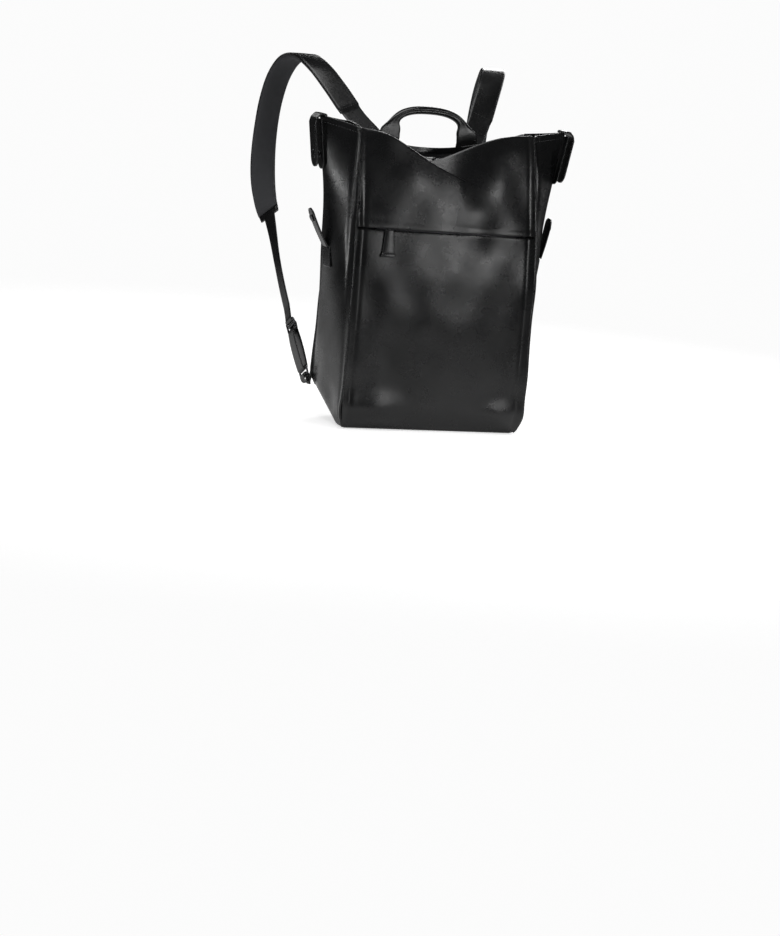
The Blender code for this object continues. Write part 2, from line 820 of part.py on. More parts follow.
def make_wing_tabs():
    lean = (fold_line(0.445) - fold_line(0.375)) / 0.070
    counter = plate([strap_end(0.074, 0.024)], LEATHER)
    counter_x = fold_line(0.447) + LEATHER / 2 + 2 * GAP
    counter_frame = wing_frame(counter_x, 0.447, lean)
    pair(add("counter_strap_right", placed(counter, counter_frame), "leather"), "leather")
    snap, snap_height = 0.052, 0.0022
    lift = LEATHER / 2 + snap_height / 2 + GAP
    stud = placed(disc(0.0050, snap_height), Matrix.Translation((0, snap, lift)))
    pair(add("counter_stud_right", placed(stud, counter_frame), "metal"), "metal")

    hang, wall = 0.0076, 0.0026
    axis = (WING_X - 0.006, 0, WING_Z + wall)
    tab = hooked_tab(axis[0], counter_x + hang + 0.0012, lean, 0.074, 0.013, wall)
    pair(add("wing_tab_right", tab, "leather"), "leather", axis)
    tab_frame = wing_frame(counter_x + hang, 0.447, lean)
    lift = wall / 2 + snap_height / 2 + 3 * GAP
    cap = placed(disc(0.0062, snap_height), Matrix.Translation((0, snap, lift)))
    pair(add("wing_cap_right", placed(cap, tab_frame), "metal"), "metal", axis)


SIDE_ROOT = Vector((0.1737, -0.008, 0.262))
SIDE_LEAN = radians(29)  # of the left tab
RIGHT_LEAN = radians(11)  # the right tab lies closer to its gusset


def make_side_tabs():
    """A stiff strap end that stands up and away from each gusset, and the patch it is sewn to."""
    wall, width, length = 0.0028, 0.020, 0.062
    up = Vector((sin(SIDE_LEAN), 0, cos(SIDE_LEAN)))
    frame = frame_matrix(SIDE_ROOT, (0, 1, 0), up)
    tab = placed(plate([strap_end(length, width)], wall), frame)
    pair(add("side_tab_right", tab, "leather"), "leather", SIDE_ROOT)
    snap_height = 0.0022
    lift = wall / 2 + snap_height / 2 + GAP
    stud = placed(disc(0.0055, snap_height), Matrix.Translation((0, length - 0.015, lift)))
    pair(add("side_stud_right", placed(stud, frame), "metal"), "metal", SIDE_ROOT)
    for name in ("side_tab_right", "side_stud_right"):
        bpy.data.objects[name].data.transform(Matrix.Rotation(RIGHT_LEAN - SIDE_LEAN, 4, "Y"))
    outside = (-2 * GAP - LEATHER, -2 * GAP)
    patch = layer("side_patch_right", "leather", (1.33, 1.52), (0.515, 0.578), outside, 24)
    pair(patch, "leather")


make_shell()
make_inside()
make_mouth()
make_pocket_zip()
make_handle()
make_straps()
make_wing_tabs()
make_side_tabs()
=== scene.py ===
"""Looks of the leather shopper backpack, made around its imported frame, in metres.

The skin function and the strap's route repeat the ones that the frame was designed with, so
every leather piece lies close to its solid. Right-hand pieces are made once and mirrored.
"""

import json
from math import cos, exp, pi, radians, sin, sqrt

import bmesh
import bpy
import numpy as np
from mathutils import Matrix, Vector

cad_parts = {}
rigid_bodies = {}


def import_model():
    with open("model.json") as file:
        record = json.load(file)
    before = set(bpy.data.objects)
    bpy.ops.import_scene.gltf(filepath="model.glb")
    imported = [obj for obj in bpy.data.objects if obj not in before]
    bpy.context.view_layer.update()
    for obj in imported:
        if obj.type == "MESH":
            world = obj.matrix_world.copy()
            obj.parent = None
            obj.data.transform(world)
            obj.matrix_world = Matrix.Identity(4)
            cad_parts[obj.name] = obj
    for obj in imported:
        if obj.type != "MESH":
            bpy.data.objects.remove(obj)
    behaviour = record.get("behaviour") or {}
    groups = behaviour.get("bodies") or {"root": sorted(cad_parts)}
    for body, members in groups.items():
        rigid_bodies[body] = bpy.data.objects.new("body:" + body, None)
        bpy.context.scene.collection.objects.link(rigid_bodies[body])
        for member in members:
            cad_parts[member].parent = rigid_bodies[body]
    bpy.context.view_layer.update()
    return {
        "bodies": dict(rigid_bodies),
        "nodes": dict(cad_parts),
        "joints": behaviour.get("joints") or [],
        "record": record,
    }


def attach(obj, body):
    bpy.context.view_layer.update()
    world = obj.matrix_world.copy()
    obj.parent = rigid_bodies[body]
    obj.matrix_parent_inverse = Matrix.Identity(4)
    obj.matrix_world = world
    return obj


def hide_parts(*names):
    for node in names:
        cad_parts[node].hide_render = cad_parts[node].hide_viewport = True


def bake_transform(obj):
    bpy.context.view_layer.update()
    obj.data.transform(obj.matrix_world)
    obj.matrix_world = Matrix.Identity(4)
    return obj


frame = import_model()

# Driving dimensions of the skin, as in the frame's design
HALF_WIDTH = 0.145
HALF_DEPTH = 0.065
WING_X = 0.200
WING_Z = 0.452
SEAM_TOP_X = 0.139
SEAM_TOP_Y = 0.015
SEAM_TOP_Z = 0.444
LEFT_SEAM_Z = 0.438
FRONT_CROWN = 0.024
BACK_CROWN = 0.042
BELLY = 0.004
POCKET_Z = 0.297
BACK_DIP = 0.034
BASE_ROUND = 0.008
CORNER_LIFT = 0.055
CORNER_WIDTH = 0.065
CORNER_DEPTH = 0.100
LEATHER = 0.0020
GAP = 0.0003
ZIP_Y = 0.004
ZIP_RADIUS = 0.373
ZIP_CENTRE_Z = 0.767
CELL = 0.0026  # spacing of the leather panels' vertices
PANEL_GAP = 0.0009  # between two panels along their seam
FLATTENING = 1.4  # power of the height by which the bag's section goes flat towards the mouth
LIFT_TOP_Z = 0.16  # the corners' lift has faded out at this height
STRAP_END_Z = 0.447  # where the straps at the wings hang from
SOFT_CORNER, HARD_CORNER = 50, 40  # degrees above which an edge is shaded sharp

RANDOM = np.random.default_rng(11)


# Mesh helpers


def add_object(name, data):
    obj = bpy.data.objects.new(name, data)
    bpy.context.scene.collection.objects.link(obj)
    return obj


def shade(mesh, corner):
    """Smooth shading, but for edges sharper than a corner in degrees."""
    mesh.shade_smooth()
    mesh.set_sharp_from_angle(angle=radians(corner))


def link(name, points, faces, material, smooth=True):
    mesh = bpy.data.meshes.new(name)
    mesh.from_pydata(np.asarray(points, float).reshape(-1, 3).tolist(), [], faces)
    mesh.materials.append(material)
    mesh.validate()
    if smooth:
        shade(mesh, SOFT_CORNER)
    return add_object(name, mesh)


def unit(vectors):
    length = np.linalg.norm(vectors, axis=-1, keepdims=True)
    return vectors / np.maximum(length, 1e-12)


def share(value, low, high):
    return np.clip((value - low) / (high - low), 0.0, 1.0)


def smooth(value, low, high):
    t = share(value, low, high)
    return t * t * (3 - 2 * t)


def grid_normals(grid):
    """Outward normals of a grid whose columns run to the right and whose rows run up."""
    along = np.gradient(grid, axis=1)
    up = np.gradient(grid, axis=0)
    return unit(np.cross(along, up))


def quads(rows, columns, start=0):
    index = start + np.arange(rows * columns).reshape(rows, columns)
    faces = np.stack([index[:-1, :-1], index[:-1, 1:], index[1:, 1:], index[1:, :-1]], -1)
    return faces.reshape(-1, 4)


def rim_order(rows, columns):
    """Indices of a grid's border, once round, anticlockwise seen from outside."""
    index = np.arange(rows * columns).reshape(rows, columns)
    return np.concatenate([index[0, :-1], index[:-1, -1], index[-1, :0:-1], index[:0:-1, 0]])


def slab(name, outer, thickness, material):
    """A sheet of leather: its outer grid, the grid behind it, and a half-round cut edge."""
    rows, columns = outer.shape[:2]
    normals = grid_normals(outer)
    inner = outer - normals * thickness
    border = rim_order(rows, columns)
    o, i = outer.reshape(-1, 3)[border], inner.reshape(-1, 3)[border]
    along = unit(np.roll(o, -1, 0) - np.roll(o, 1, 0))
    away = unit(np.cross(along, normals.reshape(-1, 3)[border]))
    rings, steps = [], 4
    for k in range(1, steps):
        angle = pi * k / steps
        half = np.linalg.norm(o - i, axis=1, keepdims=True) / 2
        rings.append((o + i) / 2 + (o - i) / 2 * cos(angle) + away * half * 0.8 * sin(angle))
    count, edge = rows * columns, len(border)
    points = np.concatenate([outer.reshape(-1, 3), inner.reshape(-1, 3), *rings])
    faces = [quads(rows, columns), quads(rows, columns, count)[:, ::-1]]
    levels = [border, *(2 * count + edge * k + np.arange(edge) for k in range(steps - 1))]
    levels.append(count + border)
    for low, high in zip(levels, levels[1:]):
        faces.append(np.stack([low, high, np.roll(high, -1), np.roll(low, -1)], -1))
    return link(name, points, np.concatenate(faces).tolist(), material)


def tube_faces(sides, rings, start=0, closed=False):
    """Faces between rings of points, with a cap at both ends unless the tube is closed."""
    faces = []
    for i in range(rings if closed else rings - 1):
        low, high = start + i * sides, start + (i + 1) % rings * sides
        for j in range(sides):
            m = (j + 1) % sides
            faces.append((low + j, low + m, high + m, high + j))
    if not closed:
        last = start + (rings - 1) * sides
        faces.append(tuple(start + j for j in range(sides))[::-1])
        faces.append(tuple(last + j for j in range(sides)))
    return faces


def tube(name, points, faces, material):
    obj = link(name, points, faces, material)
    face_outwards(obj)
    return obj


def sweep(name, stations, profile, material, closed=False):
    """A closed outline (across, out) carried along stations of (place, across, out).

    profile is one outline, or a function of the station's share of the way.
    """
    places, across, out = (np.array(part, float) for part in zip(*stations))
    last = len(places) - 1
    rings = []
    for i in range(last + 1):
        outline = np.array(profile(i / last) if callable(profile) else profile)
        rings.append(places[i] + outline[:, :1] * across[i] + outline[:, 1:] * out[i])
    faces = tube_faces(len(rings[0]), last + 1, closed=closed)
    return tube(name, np.array(rings), faces, material)


def face_outwards(obj):
    mesh = obj.data
    mesh.calc_loop_triangles()
    points = np.array([v.co for v in mesh.vertices])
    corners = np.array([t.vertices for t in mesh.loop_triangles])
    if np.linalg.det(points[corners]).sum() < 0:
        mesh.flip_normals()


def path_stations(points, across_hint):
    """Stations along a path, their across direction nearest to the hint."""
    points = np.array([tuple(p) for p in points], float)
    along = unit(np.gradient(points, axis=0))
    hints = [across_hint(i) if callable(across_hint) else across_hint for i in range(len(points))]
    hints = np.array(hints, float)
    across = unit(hints - along * (along * hints).sum(1, keepdims=True))
    return list(zip(points, across, np.cross(along, across)))


def band(half_width, low, high, crown=0.0, steps=12, corner=4):
    """A strap's section: half-round edges, and faces that may be crowned outwards.

    low is the face towards -out, high the face towards +out.
    """
    radius = (high - low) / 2
    flat = half_width - radius
    middle = (low + high) / 2
    turns = [pi * k / corner for k in range(1, corner)]
    outline = []
    for i in range(steps + 1):
        a = flat * (2 * i / steps - 1)
        outline.append((a, low - crown * (1 - (a / half_width) ** 2)))
    outline += [(flat + radius * sin(turn), middle - radius * cos(turn)) for turn in turns]
    for i in range(steps + 1):
        a = flat * (1 - 2 * i / steps)
        outline.append((a, high + crown * (1 - (a / half_width) ** 2)))
    outline += [(-flat - radius * sin(turn), middle + radius * cos(turn)) for turn in turns]
    return outline


def ring_outline(radius, sides=12, squash=1.0):
    turns = [2 * pi * i / sides for i in range(sides)]
    return [(radius * cos(turn), radius * squash * sin(turn)) for turn in turns]


def bump_at(value, centre, width):
    return np.exp(-(((value - centre) / width) ** 2))


def wire(name, points, radius, material, closed=False, across=(0, 1, 0), sides=10, squash=1.0):
    points = np.array([tuple(p) for p in points], float)
    if closed:
        along = unit(np.roll(points, -1, 0) - np.roll(points, 1, 0))
        hint = np.array(across, float)
        across_all = unit(hint - along * (along @ hint)[:, None])
        stations = list(zip(points, across_all, np.cross(along, across_all)))
    else:
        stations = path_stations(points, across)
    return sweep(name, stations, ring_outline(radius, sides, squash), material, closed)


def apply_modifiers(obj):
    bpy.context.view_layer.update()
    graph = bpy.context.evaluated_depsgraph_get()
    mesh = bpy.data.meshes.new_from_object(obj.evaluated_get(graph))
    obj.modifiers.clear()
    obj.data = mesh
    mesh.shade_smooth()


def subdivide(obj, levels):
    modifier = obj.modifiers.new("rounded", "SUBSURF")
    modifier.levels = modifier.render_levels = levels
    apply_modifiers(obj)


def mirrored(obj, name):
    """The left-hand copy of a right-hand piece."""
    mesh = obj.data.copy()
    mesh.transform(Matrix.Scale(-1, 4, (1, 0, 0)))
    mesh.flip_normals()
    return add_object(name, mesh)


def finish_piece(obj, body, replaced=()):
    if isinstance(body, str):
        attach(obj, body)
    else:
        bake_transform(obj)
    if replaced:
        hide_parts(*replaced)
    return obj


def both_sides(obj, body, replaced=()):
    """Names and places a right-hand piece and its mirror image. %s stands for the side."""
    base = obj.name
    left = mirrored(obj, base + "_left")
    obj.name = base + "_right"
    made = []
    for side, piece in (("right", obj), ("left", left)):
        nodes = [node % side for node in replaced]
        made.append(finish_piece(piece, body.replace("%s", side), nodes))
    return made


def stitches(name, points, normals, material, pitch=0.0042, length=0.0029, radius=0.00038):
    """A row of thread stitches lying on a surface along a path, each a small spindle."""
    points, normals = np.array(points, float), np.array(normals, float)
    lengths = np.concatenate([[0], np.cumsum(np.linalg.norm(np.diff(points, axis=0), axis=1))])
    count = max(2, int(lengths[-1] / pitch))
    centres = (np.arange(count) + 0.5) * lengths[-1] / count
    sides = 6
    shape = [(-0.5, 0.35), (-0.32, 0.95), (0.32, 0.95), (0.5, 0.35)]
    all_points, faces = [], []
    for centre in centres:
        def at(value, rows):
            return np.array([np.interp(value, lengths, rows[:, k]) for k in range(3)])

        middle = at(centre, points)
        along = unit(at(centre + length / 2, points) - at(centre - length / 2, points))
        out = unit(at(centre, normals))
        across = np.cross(along, out)
        start = len(all_points)
        for position, size in shape:
            sink = radius * (0.2 - 1.1 * (abs(position) > 0.4))
            for k in range(sides):
                turn = 2 * pi * k / sides
                ring = across * cos(turn) + out * sin(turn)
                all_points.append(middle + along * position * length + out * sink + ring * radius * size)
        faces += tube_faces(sides, len(shape), start)
    return tube(name, all_points, faces, material)


# Materials


def connect(tree, node, inputs):
    """Sets a node's inputs to plain values, or links them to other nodes' outputs."""
    for key, value in inputs.items():
        if isinstance(value, bpy.types.NodeSocket):
            tree.links.new(value, node.inputs[key])
        else:
            node.inputs[key].default_value = value


def add_node(tree, kind, inputs):
    node = tree.nodes.new(kind)
    connect(tree, node, inputs)
    return node


def new_material(name):
    """A material, its node tree, its shader, and the place on the object."""
    made = bpy.data.materials.new(name)
    made.use_nodes = True
    tree = made.node_tree
    where = tree.nodes.new("ShaderNodeTexCoord").outputs["Object"]
    return made, tree, tree.nodes["Principled BSDF"], where


def leather_material(name, tone=0.0060, roughness=(0.21, 0.35), grain=0.09):
    """Smooth black leather: fine pores, soft creases, and a polish that varies a little."""
    made, tree, shader, where = new_material(name)

    def noise(scale, detail, rough=0.5):
        inputs = {"Scale": scale, "Detail": detail, "Roughness": rough, "Vector": where}
        return add_node(tree, "ShaderNodeTexNoise", inputs).outputs["Fac"]

    def mapped(value, low, high, start=0.3, end=0.7):
        inputs = {"From Min": start, "From Max": end, "To Min": low, "To Max": high, "Value": value}
        return add_node(tree, "ShaderNodeMapRange", inputs).outputs["Result"]

    ramp = add_node(tree, "ShaderNodeValToRGB", {"Fac": noise(9, 4)})
    low, high = ramp.color_ramp.elements
    low.position, high.position = 0.3, 0.75
    low.color = (tone * 0.75, tone * 0.78, tone * 0.84, 1)
    high.color = (tone * 1.35, tone * 1.4, tone * 1.5, 1)

    cells = add_node(tree, "ShaderNodeTexVoronoi", {"Scale": 950, "Vector": where})
    cells.feature = "DISTANCE_TO_EDGE"
    height = mapped(cells.outputs["Distance"], 0.0, 1.0, 0.0, 0.25)
    inputs = {"Strength": grain, "Distance": 0.00025, "Height": height}
    pores = add_node(tree, "ShaderNodeBump", inputs).outputs["Normal"]
    inputs = {"Strength": 0.10, "Distance": 0.0015, "Height": noise(110, 4, 0.6), "Normal": pores}
    creases = add_node(tree, "ShaderNodeBump", inputs).outputs["Normal"]
    looks = {
        "Specular IOR Level": 0.50,
        "Coat Weight": 0.10,
        "Coat Roughness": 0.22,
        "Base Color": ramp.outputs["Color"],
        "Roughness": mapped(noise(22, 5, 0.6), *roughness),
        "Normal": creases,
    }
    connect(tree, shader, looks)
    return made


def plain_material(name, colour, roughness, metallic=0.0, scale=120.0, bump=0.1, weave=False):
    """Metal, paint, thread, board or cloth: a base colour broken up by noise, with a fine bump."""
    made, tree, shader, where = new_material(name)
    inputs = {"Scale": scale, "Detail": 4, "Vector": where}
    noise = add_node(tree, "ShaderNodeTexNoise", inputs).outputs["Fac"]
    ramp = add_node(tree, "ShaderNodeValToRGB", {"Fac": noise})
    for element, share_of in zip(ramp.color_ramp.elements, (0.8, 1.25)):
        element.color = (*(c * share_of for c in colour), 1)
    inputs = {"To Min": roughness * 0.85, "To Max": min(1.0, roughness * 1.15), "Value": noise}
    spread = add_node(tree, "ShaderNodeMapRange", inputs)
    height = noise
    if weave:
        threads = []
        for direction in ("X", "Z"):
            inputs = {"Scale": 420, "Distortion": 0.4, "Vector": where}
            wave = add_node(tree, "ShaderNodeTexWave", inputs)
            wave.bands_direction = direction
            threads.append(wave.outputs["Fac"])
        mix = add_node(tree, "ShaderNodeMath", {0: threads[0], 1: threads[1]})
        mix.operation = "MULTIPLY"
        height = mix.outputs["Value"]
    inputs = {"Strength": bump, "Distance": 0.0003, "Height": height}
    raised = add_node(tree, "ShaderNodeBump", inputs)
    looks = {
        "Metallic": metallic,
        "Base Color": ramp.outputs["Color"],
        "Roughness": spread.outputs["Result"],
        "Normal": raised.outputs["Normal"],
    }
    connect(tree, shader, looks)
    return made


BODY_LEATHER = leather_material("body_leather")
TRIM_LEATHER = leather_material("trim_leather", tone=0.0055, roughness=(0.22, 0.33), grain=0.07)
EDGE_PAINT = plain_material("edge_paint", (0.040, 0.040, 0.042), 0.30, bump=0.05)
THREAD = plain_material("thread", (0.048, 0.048, 0.051), 0.5, scale=900, bump=0.3)
LINING = plain_material("lining_cloth", (0.045, 0.046, 0.05), 0.85, weave=True, bump=0.25)
FOAM = plain_material("foam", (0.10, 0.10, 0.10), 0.95, scale=700, bump=0.5)
BOARD = plain_material("board", (0.08, 0.07, 0.06), 0.8, scale=300, bump=0.3)
TAPE = plain_material("zip_tape", (0.012, 0.012, 0.013), 0.8, weave=True, bump=0.3)
METAL = plain_material("black_metal", (0.075, 0.075, 0.08), 0.26, metallic=1.0, scale=60, bump=0.04)
TEETH = plain_material("zip_teeth", (0.05, 0.05, 0.054), 0.3, metallic=1.0, scale=300, bump=0.05)


# Camera, light and floor

VIEW_TURN = radians(-24.2)  # the camera stands in front and to the bag's left
VIEW_RISE = radians(6.5)
VIEW_ROLL = radians(6.0)
VIEW_DISTANCE = 5.0
LENS = 128.6
OFF_RIGHT, OFF_UP = 0.0115, 0.0577  # tangents of the bag's place in the frame
BAG_CENTRE = Vector((0, 0, WING_Z / 2))


def make_camera():
    right = Vector((cos(VIEW_TURN), sin(VIEW_TURN), 0))
    back = Vector((sin(VIEW_TURN) * cos(VIEW_RISE), -cos(VIEW_TURN) * cos(VIEW_RISE), sin(VIEW_RISE)))
    up = back.cross(right)
    turned_right = right * cos(VIEW_ROLL) + up * sin(VIEW_ROLL)
    turned_up = up * cos(VIEW_ROLL) - right * sin(VIEW_ROLL)
    place = BAG_CENTRE + back * VIEW_DISTANCE
    aim = BAG_CENTRE - (turned_right * OFF_RIGHT + turned_up * OFF_UP) * VIEW_DISTANCE
    axis = (place - aim).normalized()
    side = turned_up.cross(axis).normalized()
    camera = add_object("camera", bpy.data.cameras.new("camera"))
    camera.data.lens = LENS
    camera.data.clip_end = 60
    turned = Matrix((side, axis.cross(side), axis)).transposed().to_4x4()
    camera.matrix_world = Matrix.Translation(place) @ turned
    bpy.context.scene.camera = camera


def softbox(name, turn, rise, distance, size, power):
    """A rectangular light round the bag: turn 0 in front and 90 on its right, in degrees."""
    turn, rise = radians(turn), radians(rise)
    away = Vector((sin(turn) * cos(rise), -cos(turn) * cos(rise), sin(rise)))
    light = add_object(name, bpy.data.lights.new(name, "AREA"))
    light.data.shape = "RECTANGLE"
    light.data.size, light.data.size_y = size
    light.data.energy = power
    light.location = BAG_CENTRE + away * distance
    light.rotation_euler = (-away).to_track_quat("-Z", "Y").to_euler()
    light.visible_camera = False


def make_floor():
    """A round pale floor that fades into the studio's own pale backdrop."""
    radius, sides, rings = 3.0, 96, 12
    points, faces = [(0, 0, 0)], [(0, 1 + k, 1 + (k + 1) % sides) for k in range(sides)]
    for r in range(1, rings + 1):
        turns = np.linspace(0, 2 * pi, sides, endpoint=False)
        points += [(radius * r / rings * cos(a), radius * r / rings * sin(a), 0) for a in turns]
    for r in range(rings - 1):
        for k in range(sides):
            a, b = 1 + r * sides + k, 1 + r * sides + (k + 1) % sides
            faces.append((a, a + sides, b + sides, b))
    pale = plain_material("floor", (0.80, 0.80, 0.80), 0.9, scale=3, bump=0.0)
    tree = pale.node_tree
    shader = tree.nodes["Principled BSDF"]
    where = add_node(tree, "ShaderNodeTexCoord", {}).outputs["Object"]
    seen = add_node(tree, "ShaderNodeLightPath", {}).outputs["Is Camera Ray"]
    glow = add_node(tree, "ShaderNodeMath", {0: seen, 1: FLOOR_GLOW - FLOOR_BOUNCE, 2: FLOOR_BOUNCE})
    glow.operation = "MULTIPLY_ADD"
    looks = {"Emission Color": (1, 1, 1, 1), "Emission Strength": glow.outputs["Value"]}
    connect(tree, shader, looks)
    length = add_node(tree, "ShaderNodeVectorMath", {0: where})
    length.operation = "LENGTH"
    inputs = {"From Min": 0.45, "From Max": 1.5, "Value": length.outputs["Value"]}
    fade = add_node(tree, "ShaderNodeMapRange", inputs)
    fade.interpolation_type = "SMOOTHSTEP"
    clear = add_node(tree, "ShaderNodeBsdfTransparent", {}).outputs["BSDF"]
    inputs = {"Fac": fade.outputs["Result"], 1: shader.outputs["BSDF"], 2: clear}
    mix = add_node(tree, "ShaderNodeMixShader", inputs)
    connect(tree, tree.nodes["Material Output"], {"Surface": mix.outputs["Shader"]})
    link("floor", points, faces, pale)


def make_world():
    """A pale backdrop for the eye, and a dim room for the leather to reflect."""
    world = bpy.data.worlds.new("studio")
    world.use_nodes = True
    tree = world.node_tree
    room = tree.nodes["Background"]
    connect(tree, room, {"Color": (1, 1, 1, 1), "Strength": ROOM_LIGHT})
    inputs = {"Color": (1, 1, 1, 1), "Strength": BACKDROP_LIGHT}
    backdrop = add_node(tree, "ShaderNodeBackground", inputs).outputs["Background"]
    seen = add_node(tree, "ShaderNodeLightPath", {}).outputs["Is Camera Ray"]
    inputs = {"Fac": seen, 1: room.outputs["Background"], 2: backdrop}
    mix = add_node(tree, "ShaderNodeMixShader", inputs)
    connect(tree, tree.nodes["World Output"], {"Surface": mix.outputs["Shader"]})
    bpy.context.scene.world = world
    bpy.context.scene.view_settings.view_transform = "Standard"


ROOM_LIGHT = 0.030
BACKDROP_LIGHT = 0.97
FLOOR_GLOW = 0.62  # keeps the floor as pale as the backdrop while the leather stays dark
FLOOR_BOUNCE = 0.13  # what the leather sees of it
LIGHTS = [
    # name, turn, rise, distance, size, power
    ("front_right", 24, 7, 2.4, (0.55, 0.45), 3.6),
    ("front_high", 29, 17, 2.4, (0.16, 0.16), 4.2),
    ("wing_left", -58, 2, 2.2, (0.22, 0.50), 6.5),
    ("side_left", -80, 24, 2.2, (0.16, 0.9), 4.5),
    ("front_top", -44, 62, 2.4, (1.0, 0.4), 8),
    ("side_right", 104, 22, 2.4, (0.3, 1.4), 9),
    ("overhead", -10, 80, 2.4, (1.2, 1.2), 16),
    ("rear_right", 140, 26, 2.6, (1.3, 1.1), 30),
    ("rear_left", 206, 34, 2.6, (1.2, 0.8), 8),
]


make_camera()
make_floor()
make_world()
for light in LIGHTS:
    softbox(*light)


# The skin


def corner_lift(x, y):
    across = share(np.abs(x), HALF_WIDTH - CORNER_WIDTH, HALF_WIDTH)
    along = share(y, HALF_DEPTH - CORNER_DEPTH, HALF_DEPTH)
    return CORNER_LIFT * across**2 * along


SOFT_TUCK = 0.0045  # the panels curve in towards the base seam over their lowest stretch
SOFT_HEIGHT = 0.038


def section(panel, t, z, tuck=0.0, depth=0.0, front=0.0, back=0.0):
    """A place on the skin, by panel, share of the panel's width and height.

    Panels go round: 0 front, 1 right gusset, 2 back, 3 left gusset. depth is how far inside the
    outer face a layer lies; front and back are extra depths behind the pocket and the padding.
    """
    t, z = np.broadcast_arrays(np.asarray(t, float), np.asarray(z, float))
    across = 2 * t - 1
    flat = (np.maximum(z, 0) / WING_Z) ** FLATTENING
    soft = depth + tuck + SOFT_TUCK * (1 - share(z, 0, SOFT_HEIGHT)) ** 2
    seam_x = HALF_WIDTH + (SEAM_TOP_X - HALF_WIDTH) * flat**2 - soft
    seam_y = HALF_DEPTH + (SEAM_TOP_Y - HALF_DEPTH) * flat**2 - soft
    fold_x = HALF_WIDTH + (WING_X - HALF_WIDTH) * flat - soft - 3 * depth * flat
    if panel == 0:
        x = seam_x * across
        puff = FRONT_CROWN * flat**2 + BELLY * np.sin(pi * share(z, 0, POCKET_Z))
        y = front - seam_y - puff * (1 - across**2)
    elif panel == 2:
        x = -seam_x * across
        y = seam_y - back + BACK_CROWN * flat**2 * (1 - across**2)
    else:
        side = 1 if panel == 1 else -1
        to_back = t if panel == 1 else 1 - t
        fold = 1.05 + 3 * np.maximum(1 - flat, 0) ** 1.5
        y = seam_y * (2 * to_back - 1) + front * (1 - to_back) ** 4 - back * to_back**4
        x = side * (seam_x + (fold_x - seam_x) * (1 - np.abs(across) ** fold))
    fade = np.maximum(0.0, 1 - z / LIFT_TOP_Z) ** 2
    return np.stack([x, y, z + corner_lift(x, y) * fade], -1)


# Soft forms on the skin: centre, reach along X, Y and Z, and height outwards
FORMS = [
    ((0.045, -0.070, 0.190), (0.060, 0.050, 0.110), 0.0022),
    ((0.075, -0.060, 0.278), (0.020, 0.040, 0.022), -0.0016),
    ((-0.060, -0.070, 0.120), (0.055, 0.050, 0.070), -0.0012),
    ((-0.094, -0.065, 0.030), (0.060, 0.030, 0.026), 0.0066),
    ((0.110, -0.065, 0.030), (0.036, 0.030, 0.020), 0.0046),
    ((-0.020, -0.065, 0.016), (0.060, 0.030, 0.012), -0.0014),
    ((0.044, -0.060, 0.326), (0.046, 0.050, 0.026), 0.0022),
    ((0.122, -0.060, 0.355), (0.036, 0.050, 0.040), -0.0026),
    ((-0.147, -0.020, 0.035), (0.030, 0.022, 0.020), -0.0030),
    ((-0.150, 0.020, 0.110), (0.030, 0.030, 0.060), 0.0020),
    ((-0.145, 0.018, 0.042), (0.030, 0.042, 0.032), 0.0034),
    ((-0.170, 0.000, 0.250), (0.030, 0.030, 0.045), 0.0016),
    ((0.147, -0.010, 0.045), (0.030, 0.030, 0.025), -0.0022),
    ((0.168, -0.010, 0.240), (0.030, 0.030, 0.050), 0.0016),
    ((0.185, -0.008, 0.400), (0.006, 0.012, 0.022), -0.0018),
]
WAVES = [
    (unit(RANDOM.normal(size=3)) * 2 * pi / RANDOM.uniform(0.05, 0.14), RANDOM.uniform(0, 2 * pi))
    for _ in range(12)
]
WAVE_HEIGHT = 0.00022


def relief(points):
    """How far the leather stands out from the plain skin: soft forms and slow waves."""
    height = sum(WAVE_HEIGHT * np.sin(points @ wave + phase) for wave, phase in WAVES)
    for centre, reach, form in FORMS:
        height = height + form * np.exp(-(((points - centre) / reach) ** 2).sum(-1))
    return height


def on_skin(panel, t, z, out=0.0):
    """Places a set way outside the modelled leather, and the directions across, up and out."""
    step = 0.0005
    place = section(panel, t, z)
    across = unit(section(panel, t + step, z) - section(panel, t - step, z))
    up = section(panel, t, z + step) - section(panel, t, z - step)
    away = unit(np.cross(across, up))
    return place + away * (relief(place) + out)[..., None], across, away


def edge_marks(width, cell=CELL):
    """Shares across a panel, close together at its two edges where the seams stand up."""
    near = np.array([0, 0.0006, 0.0012, 0.0019, 0.0028, 0.0039, 0.0053, 0.0070, 0.0090, 0.0115]) / width
    middle = np.linspace(near[-1], 1 - near[-1], max(4, int(width / cell)))
    return np.concatenate([near[:-1], middle, 1 - near[-2::-1]])


FIN_HEIGHT, FIN_EXTRA, BACK_FIN_SHARE = 0.0022, 0.0018, 0.45
RIDGE_WIDTH = 0.0032
VALLEY_AT, VALLEY_WIDTH, VALLEY_SHARE = 0.0085, 0.0034, 0.30


def corner_out(right, front):
    """The direction out of one of the bag's upright corners, where two panels are sewn."""
    return unit(np.array([0.75 if right else -0.75, -1.0 if front else 1.0, 0.0]))


def seam_fin(z, front):
    """Height of the ridge where two panels are sewn: tallest beside the pocket, lower behind."""
    tall = FIN_HEIGHT + FIN_EXTRA * smooth(-z, -0.345, -0.29)
    return (tall if front else tall * BACK_FIN_SHARE) * smooth(z, 0.0, 0.03)


